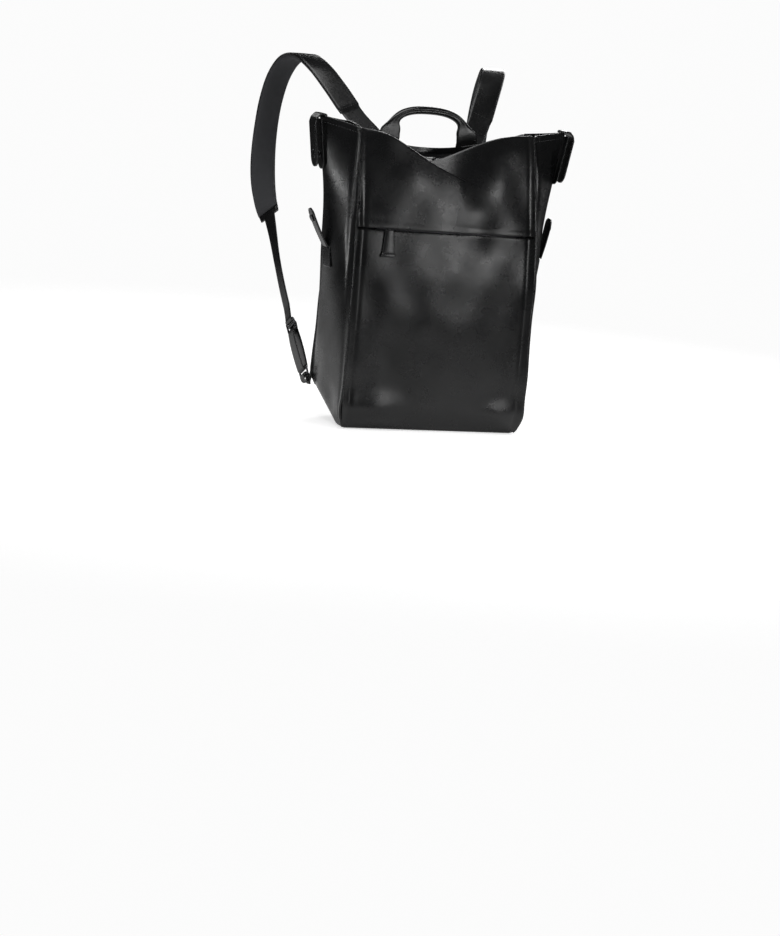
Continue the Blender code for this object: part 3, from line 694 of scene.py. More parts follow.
def raise_seams(grid, panel, marks, width, z):
    """Pushes the two edges of a panel out along the corner between it and its neighbour."""
    for edge, distance in ((0, marks * width), (1, (1 - marks) * width)):
        corner_front = (panel == 0) or (panel == 1 and edge == 0) or (panel == 3 and edge == 1)
        right = (panel == 0 and edge == 1) or panel == 1 or (panel == 2 and edge == 0)
        height = seam_fin(z, corner_front)[:, None]
        ridge = np.exp(-((distance / RIDGE_WIDTH) ** 1.8))
        fall = (ridge - VALLEY_SHARE * bump_at(distance, VALLEY_AT, VALLEY_WIDTH))[None, :]
        grid += (height * fall)[..., None] * corner_out(right, corner_front)
    return grid


PANEL_WIDTH = {0: 2 * HALF_WIDTH, 1: 2 * HALF_DEPTH, 2: 2 * HALF_WIDTH, 3: 2 * HALF_DEPTH}


def mouth_edge(panel, t):
    """Height of the free edge of the gussets and the back."""
    x = (1 - 2 * t) * SEAM_TOP_X
    if panel == 2:
        return SEAM_TOP_Z - BACK_DIP * (1 - (x / SEAM_TOP_X) ** 2)
    edge = SEAM_TOP_Z + 0 * t
    if panel == 3:
        edge = SEAM_TOP_Z + (LEFT_SEAM_Z - SEAM_TOP_Z) * t
    peak = np.sqrt((2 * t - 1) ** 2 + 0.004) - 0.03
    return edge + (WING_Z - edge) * (1 - peak)


def panel_grid(panel, top):
    """The outer face of a panel, from the base seam up to top, a height or a function of t."""
    width = PANEL_WIDTH[panel]
    marks = edge_marks(width)
    t = PANEL_GAP / width + marks * (1 - 2 * PANEL_GAP / width)
    high = top(t) if callable(top) else np.full_like(t, top)
    turns = np.linspace(0, pi / 2, 6)[:-1]
    count = int(np.max(high) / CELL)
    rows = [section(panel, t, BASE_ROUND * (1 - cos(a)), BASE_ROUND * (1 - sin(a))) for a in turns]
    heights = [np.full_like(t, BASE_ROUND * (1 - cos(a))) for a in turns]
    for k in range(count + 1):
        z = BASE_ROUND + (high - BASE_ROUND) * k / count
        rows.append(section(panel, t, z))
        heights.append(z)
    grid, z = np.array(rows), np.array(heights)
    away = grid_normals(grid)
    grid = grid + away * (relief(grid) * smooth(z, 0.0, 0.02))[..., None]
    return raise_seams(grid, panel, marks, width, z.mean(1))


def way_up(rows):
    """How far each point of a grid is from its first row, along its column."""
    lengths = np.linalg.norm(np.diff(rows, axis=0), axis=-1)
    return np.vstack([np.zeros(rows.shape[1]), np.cumsum(lengths, axis=0)])


def turn_hem(grid, top_width=0.0042, height=0.0007):
    """Thickens the leather where its edge is turned in along the mouth."""
    from_top = way_up(grid[::-1])[::-1]
    turned = smooth(-from_top, -top_width - 0.0012, -top_width + 0.0006)
    return grid + grid_normals(grid) * (height * turned)[..., None]


def roll_top(grid, reach=0.004, lower=0.0006):
    """Rolls the top edge of the pocket panel in, where it is folded along the zip."""
    from_top = way_up(grid[::-1])[::-1]
    return grid - grid_normals(grid) * (lower * np.clip(1 - from_top / reach, 0, 1) ** 2)[..., None]


def row_stitches(name, grid, distance, trim):
    """Stitches along a panel, a set way up from its lowest row, or down from its top if negative."""
    step = 1 if distance > 0 else -1
    rows, normals = grid[::step], grid_normals(grid)[::step]
    way = way_up(rows)
    points, outs = [], []
    for j in range(trim, rows.shape[1] - trim):
        for found, values in ((points, rows), (outs, normals)):
            found.append([np.interp(abs(distance), way[:, j], values[:, j, k]) for k in range(3)])
    return finish_piece(stitches(name, points, outs, THREAD), "bag")


def seam_welt(edge, place, side):
    """The folded edges a seam is sewn through, standing along a corner of the bag."""
    to_neighbour = np.array([0.0, -0.0007 if place == "front" else 0.0007, 0.0])
    outwards = corner_out(side == "right", place == "front")
    rim = edge[3:-1] + to_neighbour - outwards * 0.0012
    piece = wire(f"{place}_seam_welt_{side}", rim, 0.0019, BODY_LEATHER, across=(1, 0, 0), sides=12)
    return finish_piece(piece, "bag")


def make_shell():
    """The pocket's panel, the gussets, the back and the base, with their stitches and welts."""
    pocket = roll_top(panel_grid(0, POCKET_Z - 0.0013))
    piece = slab("pocket_panel_leather", pocket, LEATHER, BODY_LEATHER)
    finish_piece(piece, "bag", ["pocket_panel"])
    row_stitches("pocket_slit_stitches", pocket, -0.0030, 12)
    for panel, side, front, back in ((1, "right", 0, -1), (3, "left", -1, 0)):
        grid = panel_grid(panel, lambda t, p=panel: mouth_edge(p, t))
        piece = slab("gusset_leather_" + side, turn_hem(grid), LEATHER, BODY_LEATHER)
        finish_piece(piece, "bag", ["gusset_" + side])
        row_stitches("gusset_stitches_" + side, turn_hem(grid), -0.0085, 3)
        seam_welt(grid[:, front], "front", side)
        seam_welt(grid[:, back], "back", side)
    back = turn_hem(panel_grid(2, lambda t: mouth_edge(2, t)))
    piece = slab("back_panel_leather", back, LEATHER, BODY_LEATHER)
    finish_piece(piece, "bag", ["back_panel"])
    row_stitches("back_stitches", back, -0.0085, 3)
    make_base()


def make_base():
    """The base, a plate of leather whose back corners lift, sewn to the panels' turned edges."""
    half_x = HALF_WIDTH - BASE_ROUND - SOFT_TUCK - GAP
    half_y = HALF_DEPTH - BASE_ROUND - SOFT_TUCK - GAP
    columns, rows = int(2 * half_x / 0.004), int(2 * half_y / 0.004)
    x, y = np.meshgrid(np.linspace(half_x, -half_x, columns), np.linspace(-half_y, half_y, rows))
    grid = np.stack([x, y, 0.0002 + corner_lift(x, y)], -1)
    piece = slab("base_leather", grid, LEATHER, BODY_LEATHER)
    finish_piece(piece, "bag", ["base_panel"])


# The yoke's free edge. The left flap slouches over the right one: its edge runs down to a soft
# tip in the right half, and the right flap's edge starts beside the mouth's zip, behind it.
LEFT_EDGE = [
    (-0.1390, -0.0150, 0.4380),
    (-0.1200, -0.0205, 0.4368),
    (-0.1010, -0.0260, 0.4325),
    (-0.0810, -0.0300, 0.4243),
    (-0.0600, -0.0340, 0.4125),
    (-0.0380, -0.0375, 0.4000),
    (-0.0180, -0.0400, 0.3905),
    (0.0000, -0.0415, 0.3825),
    (0.0195, -0.0425, 0.3745),
    (0.0340, -0.0430, 0.3700),
    (0.0460, -0.0430, 0.3692),
]
RIGHT_EDGE = [
    (-0.0240, -0.0090, 0.3940),
    (-0.0040, -0.0120, 0.4010),
    (0.0200, -0.0165, 0.4125),
    (0.0420, -0.0190, 0.4225),
    (0.0640, -0.0205, 0.4315),
    (0.0850, -0.0205, 0.4380),
    (0.1120, -0.0185, 0.4425),
    (0.1390, -0.0150, 0.4440),
]
YOKE_LOW = POCKET_Z + 0.0004
TIP_X, MERGE_X = 0.0460, 0.0120  # the left flap ends at the tip, and has joined the right by then


def edge_at(table, x):
    """Height and depth of a free edge over x, smoothed."""
    table = np.array(table)
    fine = np.linspace(table[0, 0], table[-1, 0], 300)
    depth, height = (np.interp(fine, table[:, 0], table[:, k]) for k in (1, 2))
    lines = smoothed(np.stack([fine, depth, height], -1), 9.0)
    return np.interp(x, lines[:, 0], lines[:, 2]), np.interp(x, lines[:, 0], lines[:, 1])


def smoothed(values, sigma):
    """Values along a path, averaged over a short stretch, with both ends kept."""
    reach = int(3 * sigma)
    kernel = np.exp(-((np.arange(-reach, reach + 1) / sigma) ** 2) / 2)
    kernel /= kernel.sum()
    before = 2 * values[0] - values[reach:0:-1]
    after = 2 * values[-1] - values[-2 : -reach - 2 : -1]
    padded = np.concatenate([before, values, after])
    return np.stack([np.convolve(padded[:, k], kernel, "valid") for k in range(values.shape[1])], -1)


def share_of_x(x):
    return (x / SEAM_TOP_X + 1) / 2


def x_of_share(t):
    return (2 * t - 1) * SEAM_TOP_X


def set_back(table, t, z):
    """How far behind the plain skin the leather leans, growing towards the flap's edge."""
    x = x_of_share(t)
    high, depth = edge_at(table, np.clip(x, table[0][0], table[-1][0]))
    full = depth - section(0, t, high)[..., 1]
    rise = np.clip((z - YOKE_LOW) / (high - YOKE_LOW), 0, 1.2)
    return full * rise**2


def yoke_surface(t, z, flap):
    """The yoke's outer face by share of the width and height; flap is left, or right behind it."""
    t, z = np.broadcast_arrays(t, z)
    lean = set_back(RIGHT_EDGE, t, z)
    if flap == "left":
        left = set_back(LEFT_EDGE, t, z)
        lean = left + (lean - left) * smooth(x_of_share(t), MERGE_X, TIP_X)
    points = section(0, t, z)
    points[..., 1] += lean
    return points


def yoke_grids():
    """The lower sheet, as wide as the yoke, the right flap above it, and the tip's column."""
    gap = PANEL_GAP / PANEL_WIDTH[0]
    tip = share_of_x(TIP_X)
    marks = edge_marks(PANEL_WIDTH[0])
    left_t = np.append(marks[marks < tip - 0.004], tip)
    right_t = marks[marks > tip + 0.004]
    left_t[0], right_t[-1] = gap, 1 - gap
    tip_z = edge_at(LEFT_EDGE, TIP_X)[0]
    right_x = x_of_share(right_t)
    dip = 0.003 * bump_at(right_x, TIP_X + 0.012, 0.012)
    divide = tip_z + 0.030 * smooth(right_x, TIP_X, SEAM_TOP_X) - dip
    left_top = edge_at(LEFT_EDGE, x_of_share(left_t))[0]
    t = np.concatenate([left_t, right_t])
    top = np.concatenate([left_top, divide])
    v = np.linspace(0, 1, 40)[:, None]
    lower = yoke_surface(t[None, :], YOKE_LOW + (top[None, :] - YOKE_LOW) * v, "left")

    hidden_t = np.linspace(share_of_x(-0.0240), tip, 34)[:-1]
    hidden_x = x_of_share(hidden_t)
    hidden_low = edge_at(LEFT_EDGE, hidden_x)[0] - 0.026 * smooth(TIP_X - hidden_x, 0.0, 0.030)
    upper_t = np.concatenate([hidden_t, [tip], right_t])
    upper_low = np.concatenate([hidden_low, [tip_z], divide])
    upper_high = edge_at(RIGHT_EDGE, x_of_share(upper_t))[0]
    w = np.linspace(0, 1, 30)[:, None]
    upper = yoke_surface(upper_t[None, :], upper_low + (upper_high - upper_low) * w, "right")
    grids = []
    for grid, shares in ((lower, t), (upper, upper_t)):
        away = grid_normals(grid)
        grid = grid + away * relief(grid)[..., None]
        heights = grid[..., 2].mean(1)
        grids.append(raise_seams(grid, 0, shares, PANEL_WIDTH[0], heights))
    seam = len(left_t) - 1
    grids[1][0, len(hidden_t) :] = grids[0][-1, seam:]
    return *grids, seam


def make_yoke():
    """The yoke as one sheet with two flaps, and the painted beads along their cut edges."""
    lower, upper, seam = yoke_grids()
    lip = np.linspace(0, 1, 40)
    lower = lower + grid_normals(lower) * (0.0010 * (1 - smooth(lip, 0.03, 0.11)))[:, None, None]
    points = np.concatenate([lower.reshape(-1, 3), upper.reshape(-1, 3)])
    upper_faces = quads(*upper.shape[:2], lower.shape[0] * lower.shape[1])
    faces = np.concatenate([quads(*lower.shape[:2]), upper_faces])
    piece = link("yoke_leather", points, faces.tolist(), BODY_LEATHER)
    weld(piece)
    thick = piece.modifiers.new("thickness", "SOLIDIFY")
    thick.thickness, thick.offset = LEATHER, -1
    soft = piece.modifiers.new("cut_edge", "BEVEL")
    soft.width, soft.segments = 0.0006, 2
    soft.limit_method, soft.angle_limit = "ANGLE", radians(60)
    apply_modifiers(piece)
    finish_piece(piece, "bag", ["front_yoke"])

    for side, grid, span in (("left", lower, slice(2, seam + 1)), ("right", upper, slice(0, -3))):
        inwards = grid_normals(grid)[-1, span] * LEATHER / 2
        rim = grid[-1, span] - inwards
        if side == "left":
            fade = smooth(-np.linspace(0, 1, len(rim)), -1.0, -0.86)
            rim = rim + np.array([0.0, 0.0022, -0.0006]) * (1 - fade)[:, None]
        bead = wire(f"{side}_flap_edge", rim, 0.00170, EDGE_PAINT, across=(0, 0, 1), sides=10)
        finish_piece(bead, "bag")
    row_stitches("left_flap_stitches", lower[:, : seam - 3], -0.0052, 4)
    row_stitches("right_flap_stitches", upper, -0.0052, 4)
    row_stitches("yoke_slit_stitches", lower, 0.0034, 12)
    return lower, upper


def weld(obj):
    bm = bmesh.new()
    bm.from_mesh(obj.data)
    bmesh.ops.remove_doubles(bm, verts=bm.verts, dist=2e-5)
    bmesh.ops.recalc_face_normals(bm, faces=bm.faces)
    bm.to_mesh(obj.data)
    bm.free()


make_shell()
LOWER_YOKE, UPPER_YOKE = make_yoke()


# The inside


def make_lining():
    """An open sleeve of cloth inside the skin, clear of the pocket in front and the padding."""
    depth, wall = 0.0034, 0.0007
    pocket_room, pad_room = 0.0127, 0.0063
    low, front_top, below_mouth = 0.0075, 0.335, 0.030
    rings = []
    for w in np.linspace(0, 1, 48):
        ring = []
        for panel in range(4):
            t = np.linspace(0.0, 1.0, 40 if panel % 2 == 0 else 22)[:-1]
            from_front = (0 * t, t, 0 * t + 1, 1 - t)[panel]
            raised = mouth_edge(panel, t) - below_mouth - front_top
            high = front_top + raised * smooth(from_front, 0.0, 0.6)
            z = low + (high - low) * w
            front = pocket_room * (1 - smooth(z, 0.30, front_top))
            ring.append(section(panel, t, z, depth=depth, front=front, back=pad_room))
        rings.append(np.concatenate(ring))
    outer = np.array(rings)
    closed = np.concatenate([outer, outer[:, :1]], axis=1)
    inner = closed - grid_normals(closed) * wall
    inner[:, -1] = inner[:, 0]
    rows, columns = outer.shape[:2]
    points = np.concatenate([outer.reshape(-1, 3), inner[:, :-1].reshape(-1, 3)])
    faces = []
    inside, top = rows * columns, (rows - 1) * columns
    for k in range(columns):
        m = (k + 1) % columns
        for row in range(0, top, columns):
            face = (row + k, row + m, row + columns + m, row + columns + k)
            faces.append(face)
            faces.append(tuple(inside + i for i in face[::-1]))
        faces.append((m, k, inside + k, inside + m))
        faces.append((top + k, top + m, inside + top + m, inside + top + k))
    piece = link("lining_cloth", points, faces, LINING)
    finish_piece(piece, "bag", ["lining"])


def tape_edge(x, side):
    """A point of the mouth zip's tape edge over this x."""
    angle = np.arcsin(np.clip(x / ZIP_RADIUS, -1, 1))
    return np.array([x, ZIP_Y + side * 0.0053, ZIP_CENTRE_Z - ZIP_RADIUS * np.cos(angle)])


def placket(name, upper, side, replaced=()):
    """A leather strip from just inside the mouth's edge down to the zip's tape."""
    lower = np.array([tape_edge(x, side) for x in np.clip(upper[:, 0], -0.1335, 0.1335)])
    rows = []
    for w in np.linspace(0, 1, 10):
        sag = np.array([0, 0, -0.0022]) * sin(pi * w)
        rows.append(upper * (1 - w) + lower * w + sag)
    grid = np.array(rows)
    if side < 0:
        grid = grid[::-1]
    piece = slab(name, grid[:, ::-1] if side < 0 else grid, 0.0012, TRIM_LEATHER)
    finish_piece(piece, "bag", replaced)
    return grid


def make_plackets():
    inside = LEATHER + 0.0006
    left = (LOWER_YOKE - grid_normals(LOWER_YOKE) * inside)[-6, 8:]
    left = left[left[:, 0] < -0.016]
    placket("placket_left_leather", left, -1, ["placket_front"])
    right = (UPPER_YOKE - grid_normals(UPPER_YOKE) * inside)[-8]
    right = right[(right[:, 0] > -0.020) & (right[:, 0] < 0.132)]
    placket("placket_right_leather", right, -1)
    t = np.linspace(0.045, 0.955, 90)
    high = mouth_edge(2, t) - 0.009
    back, _, _ = on_skin(2, t, high, -(LEATHER + 0.0004))
    placket("placket_back_leather", back[::-1], 1, ["placket_back"])


def zip_frame(angle):
    up = np.array([-sin(angle), 0, cos(angle)])
    along = np.array([cos(angle), 0, sin(angle)])
    place = np.array([ZIP_RADIUS * sin(angle), ZIP_Y, ZIP_CENTRE_Z - ZIP_RADIUS * cos(angle)])
    return place, along, up


def teeth_row(name, frames, size, material, shift):
    """Moulded teeth of a zip, each a small block with bevelled tops, on alternating sides.

    frames are (place, along, across, up); size is length, width and height.
    """
    length, width, height = size
    points, faces = [], []
    for number, (place, along, across, up) in enumerate(frames):
        side = 1 if number % 2 else -1
        centre = place + across * side * shift
        start = len(points)
        for level, scale in ((-0.3 * height, 1.0), (0.35 * height, 1.0), (0.7 * height, 0.66)):
            for a, b in ((-1, -1), (1, -1), (1, 1), (-1, 1)):
                offset = along * a * length / 2 * scale + across * b * width / 2 * scale
                points.append(centre + offset + up * level)
        for level in (0, 4):
            for k in range(4):
                a, b = start + level + k, start + level + (k + 1) % 4
                faces.append((a, b, b + 4, a + 4))
        faces.append((start + 3, start + 2, start + 1, start))
        faces.append(tuple(start + 8 + k for k in range(4)))
    obj = link(name, points, faces, material, smooth=False)
    face_outwards(obj)
    return obj


def make_mouth_zip():
    reach = radians(21.8)
    stations = []
    for i in range(61):
        place, _, up = zip_frame(reach * (i / 30 - 1))
        stations.append((place, np.array([0, 1, 0]), up))
    tape = sweep("mouth_zip_tape", stations, band(0.0052, -0.0005, 0.0004, steps=8, corner=3), TAPE)
    finish_piece(tape, "bag", ["main_zip_tape"])
    pitch = 0.0011
    count = int(2 * reach * ZIP_RADIUS / pitch)
    frames = []
    for i in range(count):
        place, along, up = zip_frame(-reach + 2 * reach * (i + 0.5) / count)
        frames.append((place + up * 0.0008, along, np.array([0, 1, 0]), up))
    teeth = teeth_row("mouth_zip_teeth", frames, (0.0009, 0.0030, 0.0014), TEETH, 0.0009)
    finish_piece(teeth, "bag")


def plate(name, outline, thickness, frame_matrix, material, bevel=0.0004, steps=2):
    """A flat plate with softened rims, from its outline in the frame's XY plane."""
    bm = bmesh.new()
    face = bm.faces.new([bm.verts.new((x, y, -thickness / 2)) for x, y in outline])
    lifted = bmesh.ops.extrude_face_region(bm, geom=[face])["geom"]
    top = [v for v in lifted if isinstance(v, bmesh.types.BMVert)]
    bmesh.ops.translate(bm, verts=top, vec=(0, 0, thickness))
    rims = [e for e in bm.edges if abs(e.verts[0].co.z - e.verts[1].co.z) < 1e-7]
    bmesh.ops.bevel(bm, geom=rims, offset=bevel, segments=steps, profile=0.5, affect="EDGES")
    bmesh.ops.recalc_face_normals(bm, faces=bm.faces)
    bmesh.ops.transform(bm, matrix=frame_matrix, verts=bm.verts)
    mesh = bpy.data.meshes.new(name)
    bm.to_mesh(mesh)
    bm.free()
    mesh.materials.append(material)
    shade(mesh, HARD_CORNER)
    return add_object(name, mesh)


def axes(origin, across, along):
    """Axes for a plate: X across, Y along, Z their cross product."""
    x, y = Vector(across).normalized(), Vector(along).normalized()
    z = x.cross(y).normalized()
    return Matrix.Translation(Vector(origin)) @ Matrix((x, z.cross(x), z)).transposed().to_4x4()


def rounded(width, height, radius, steps=5, centre=(0, 0)):
    points = []
    for turn, (sx, sy) in enumerate(((1, 1), (-1, 1), (-1, -1), (1, -1))):
        for i in range(steps + 1):
            angle = (turn + i / steps) * pi / 2
            x = sx * (width / 2 - radius) + radius * cos(angle)
            y = sy * (height / 2 - radius) + radius * sin(angle)
            points.append((x + centre[0], y + centre[1]))
    return points


def joined(name, parts):
    """One object of several, kept as one piece of hardware."""
    bm = bmesh.new()
    for part in parts:
        bm.from_mesh(part.data)
    mesh = bpy.data.meshes.new(name)
    bm.to_mesh(mesh)
    bm.free()
    for material in parts[0].data.materials:
        mesh.materials.append(material)
    for part in parts:
        bpy.data.objects.remove(part, do_unlink=True)
    shade(mesh, HARD_CORNER)
    return add_object(name, mesh)


def slider(name, matrix, length, width, roof):
    """A zip slider: a shield-shaped top plate over a wedge, with a bridge for its pull."""
    shield = [(-0.5, -0.30), (-0.42, -0.42), (0.1, -0.5), (0.42, -0.42), (0.5, -0.2)]
    shield += [(x, -y) for x, y in shield[::-1]]
    outline = [(x * length, y * width) for x, y in shield]
    top = plate("top", outline, 0.0010, matrix @ Matrix.Translation((0, 0, roof)), METAL)
    wedge = [(x * 0.8, y * 0.45) for x, y in outline]
    body = plate("wedge", wedge, roof, matrix @ Matrix.Translation((0, 0, roof / 2)), METAL)
    arch = []
    for turn in np.linspace(0, pi, 12):
        place = (length * 0.36 * -cos(turn), 0, roof + 0.0004 + 0.0016 * sin(turn))
        arch.append(matrix @ Vector(place))
    lying = matrix.to_3x3() @ Vector((0, 1, 0))
    bridge = wire("bridge", arch, 0.00055, METAL, across=lying, sides=8)
    return joined(name, [top, body, bridge])


def make_main_sliders():
    place, along, _ = zip_frame(0.007 / ZIP_RADIUS)
    matrix = axes(place, along, (0, 1, 0))
    body = slider("main_slider_metal", matrix, 0.0110, 0.0080, 0.0036)
    both_sides(body, "main_slider_%s", ["main_slider_%s"])
    pin, _, up = zip_frame(0.009 / ZIP_RADIUS)
    pin = pin + up * 0.0060
    outline = rounded(0.028, 0.0064, 0.0025, centre=(0.0146, 0))
    pull = plate("main_pull_leather", outline, 0.0016, Matrix.Translation(Vector(pin)), TRIM_LEATHER)
    both_sides(pull, "main_pull_%s", ["main_pull_%s"])
    turns = np.linspace(0, 2 * pi, 15)[:-1]
    hoop = [Vector(pin) + Vector((0.0022 * cos(a), 0, 0.0016 * sin(a))) for a in turns]
    ring = wire("main_pull_ring", hoop, 0.0005, METAL, closed=True, sides=8)
    both_sides(ring, "main_pull_%s")


# The pocket's zip, seen through the slit

POCKET_PARKED = 0.171


def make_pocket_zip():
    t = np.linspace(0.105, 0.895, 300)
    middle, across, away = on_skin(0, t, np.full_like(t, POCKET_Z - 0.0004), -0.0012)
    up = np.cross(away, across)
    frames = list(zip(middle, across, up, away))
    teeth = teeth_row("pocket_zip_teeth", frames, (0.00062, 0.0012, 0.0011), TEETH, 0.0004)
    finish_piece(teeth, "bag")
    place, across, away = on_skin(0, np.array([POCKET_PARKED]), np.array([POCKET_Z - 0.0004]), 0.0)
    matrix = axes(place[0], across[0], np.cross(away[0], across[0]))
    matrix = matrix @ Matrix.Translation((0, 0, -0.0022))
    body = slider("pocket_slider_metal", matrix, 0.0085, 0.0062, 0.0030)
    finish_piece(body, "pocket_zip_slider", ["pocket_zip_slider"])
    make_pocket_pull()


def make_pocket_pull():
    """A leather tongue that widens downwards and ends in a turned, stitched hem."""
    top_z, low_z = POCKET_Z - 0.0020, POCKET_Z - 0.0400
    rows = []
    columns = 16
    for z in np.linspace(low_z, top_z, 34):
        down = (top_z - z) / (top_z - low_z)
        half = 0.0064 + 0.0030 * down + 0.0012 * smooth(down, 0.80, 0.92)
        t = POCKET_PARKED + np.linspace(-half, half, columns) / (2 * HALF_WIDTH)
        swell = 0.0011 * smooth(down, 0.885, 0.905) - 0.0004 * bump_at(down, 0.88, 0.012)
        crown = 0.0006 * (1 - np.linspace(-1, 1, columns) ** 2)
        place, _, _ = on_skin(0, t, np.full_like(t, z), 0.0036 + swell + crown)
        rows.append(place)
    grid = np.array(rows)
    piece = slab("pocket_pull_leather", grid, 0.0018, TRIM_LEATHER)
    finish_piece(piece, "pocket_zip_pull", ["pocket_zip_pull"])
    normals = grid_normals(grid)
    line = round(len(grid) * 0.145)
    row, outs = grid[line, 1:-1], normals[line, 1:-1]
    fine = {"pitch": 0.0026, "length": 0.0018, "radius": 0.0003}
    piece = stitches("pocket_pull_stitches", row, outs, THREAD, **fine)
    finish_piece(piece, "pocket_zip_pull")


make_lining()
make_plackets()
make_mouth_zip()
make_main_sliders()
make_pocket_zip()


# The handle: a strap rolled round a core, its ends fanned out and sewn flat

HANDLE_HALF = 0.058
FOOT_X = 0.063
HANDLE_STEPS = 44
HANDLE_SIDES = 28
HINGE_Y = 0.0545


def handle_centre(angle):
    side = -1 if cos(angle) > 0 else 1
    rise = abs(sin(angle)) ** 0.8
    x = side * HANDLE_HALF * abs(cos(angle)) ** 0.8
    return np.array([x, HINGE_Y + 0.006 * rise, 0.4345 + 0.0315 * rise])


def handle_section(flat, half_width):
    """The rolled strap's section, from a round roll (0) to a flat, fanned strap (1).

    Across runs along the bag, out points to the wearer. The roll's closing edge is a lip inside.
    """
    outline = []
    for k in range(HANDLE_SIDES):
        a = 2 * pi * k / HANDLE_SIDES
        groove = 0.0011 * exp(-(((k - 3 * HANDLE_SIDES / 4) / 0.8) ** 2))
        roll = np.array([cos(a), sin(a)]) * (0.0060 - groove)
        spread = np.sign(cos(a)) * abs(cos(a)) ** 0.45 * half_width
        fold = 0.0009 * sin(3 * pi * spread / half_width) * (1 - flat)
        sheet = np.array([spread, 0.0011 * np.sign(sin(a)) * abs(sin(a)) ** 0.4 + fold])
        outline.append(tuple(roll * (1 - flat) + sheet * flat))
    return outline


def make_handle():
    """One mesh from foot to foot, so the roll and its fanned ends are one strap."""
    points, widths, flats = [], [], []
    for i in range(7):
        w = i / 6
        z = 0.4085 + 0.0225 * w
        t = 0.5 + FOOT_X / (2 * SEAM_TOP_X)
        place, _, _ = on_skin(2, np.array([t]), np.array([z]), 0.0017)
        points.append(place[0])
        widths.append(0.0180 - 0.0010 * w)
        flats.append(1.0)
    for i in range(HANDLE_STEPS + 1):
        angle = pi * i / HANDLE_STEPS
        end = 1 - abs(sin(angle)) ** 0.8
        points.append(handle_centre(angle))
        ease = smooth(end, 0.30, 1.0)
        widths.append(0.0072 + 0.0085 * ease)
        flats.append(float(smooth(end, 0.12, 1.0)) * 0.9)
    feet = [p * np.array([-1, 1, 1]) for p in points[:7]]
    points += feet[::-1]
    widths += widths[:7][::-1]
    flats += [1.0] * 7
    points = np.array(points)
    for _ in range(4):
        points[5:-5] = (points[4:-6] + 2 * points[5:-5] + points[6:-4]) / 4
    stations = path_stations(points, (0, 1, 0))
    rings = []
    for (place, out, across), flat, half in zip(stations, flats, widths):
        rings += [place + across * a + out * b for a, b in handle_section(flat, half)]
    faces = tube_faces(HANDLE_SIDES, len(stations))
    handle = tube("handle_leather", rings, faces, TRIM_LEATHER)
    subdivide(handle, 1)
    nodes = ["handle_wrap", "handle_core"]
    nodes += [f"handle_{part}_{side}" for part in ("flare", "foot") for side in ("left", "right")]
    start = (0.0, HINGE_Y, 0.4270)
    end = (0.0, HINGE_Y, 0.4420)
    finish_piece(handle, ("bag", "handle", start, end), nodes)
    for side in (-1, 1):
        make_foot_stitches(side)


def make_foot_stitches(side):
    """A box of stitches that holds a foot to the back panel."""
    half, low, high = 0.0150, 0.4105, 0.4265
    corners = [(-half, high), (-half, low), (half, low), (half, high), (-half, high)]
    points, normals = [], []
    for (a, z0), (b, z1) in zip(corners[:-1], corners[1:]):
        for w in np.linspace(0, 1, 20)[:-1]:
            t = 0.5 + (side * FOOT_X + a + (b - a) * w) / (2 * SEAM_TOP_X)
            place, _, away = on_skin(2, np.array([t]), np.array([z0 + (z1 - z0) * w]), 0.0030)
            points.append(place[0])
            normals.append(away[0])
    name = "handle_foot_stitches_" + ("left" if side < 0 else "right")
    finish_piece(stitches(name, points, normals, THREAD), "bag")


make_handle()


# The shoulder straps

STRAP_ROUTE = [
    (0.067, 0.0600, 0.401),
    (0.074, 0.0690, 0.413),
    (0.086, 0.0840, 0.428),
    (0.103, 0.1040, 0.448),
    (0.125, 0.1340, 0.484),
    (0.143, 0.1610, 0.511),
    (0.157, 0.1880, 0.524),
    (0.167, 0.2180, 0.517),
    (0.173, 0.2450, 0.489),
    (0.176, 0.2620, 0.448),
    (0.177, 0.2690, 0.402),
    (0.1775, 0.2680, 0.360),
    (0.1785, 0.2570, 0.325),
    (0.1795, 0.2370, 0.298),
    (0.1800, 0.2130, 0.277),
    (0.1800, 0.1905, 0.250),
    (0.1785, 0.1690, 0.216),
    (0.1745, 0.1460, 0.177),
    (0.16865, 0.12399, 0.1388),
]
RING_PLACE = np.array([0.1545, 0.0740, 0.0600])
LOWER_ALONG = unit(np.array([0.150, 0.530, 0.835]))
LOWER_ACROSS = unit(np.array([0.0, 0.835, -0.530]))
LOWER_OUT = np.cross(LOWER_ACROSS, LOWER_ALONG)
STRAP_HALF = 0.019
LOWER_HALF = 0.011
# Shares of the route where the padding starts and ends, and the narrow lower strap starts
HEM, FOAM_END, PAD_END, LOWER_START = 0.18, 0.76, 0.78, 0.772
SEWN_IN = 0.006  # how far inside the padding's ends its stitches stop, as a share of the route
PAD_FACE, ROOT_FACE = -0.0033, -0.0020  # where the stitches lie, out of the route


def smooth_route(points, steps):
    """Catmull-Rom through the points."""
    knots = np.array(points, float)
    knots = np.vstack([2 * knots[0] - knots[1], knots, 2 * knots[-1] - knots[-2]])
    route = []
    for a, b, c, d in zip(knots, knots[1:], knots[2:], knots[3:]):
        for i in range(steps):
            t = i / steps
            bend = (2 * a - 5 * b + 4 * c - d) * t**2 + (3 * b - a - 3 * c + d) * t**3
            route.append(0.5 * (2 * b + (c - a) * t + bend))
    return np.array(route + [knots[-2]])


def strap_stations(start, end):
    route = smooth_route(STRAP_ROUTE, 10)
    last = len(route) - 1

    def across(i):
        turn = smooth(i / last, 0.50, 0.92)
        return np.array([1.0, 0, 0]) * cos(turn * pi / 2) + LOWER_ACROSS * sin(turn * pi / 2)

    stations = path_stations(route, across)
    return stations[round(start * last) : round(end * last) + 1]


def strap_face(stations, offset, out):
    """Points and outward directions beside a strap's edge, on its outer face."""
    points = [place + across * offset + away * out for place, across, away in stations]
    return points, [-away for _, _, away in stations]


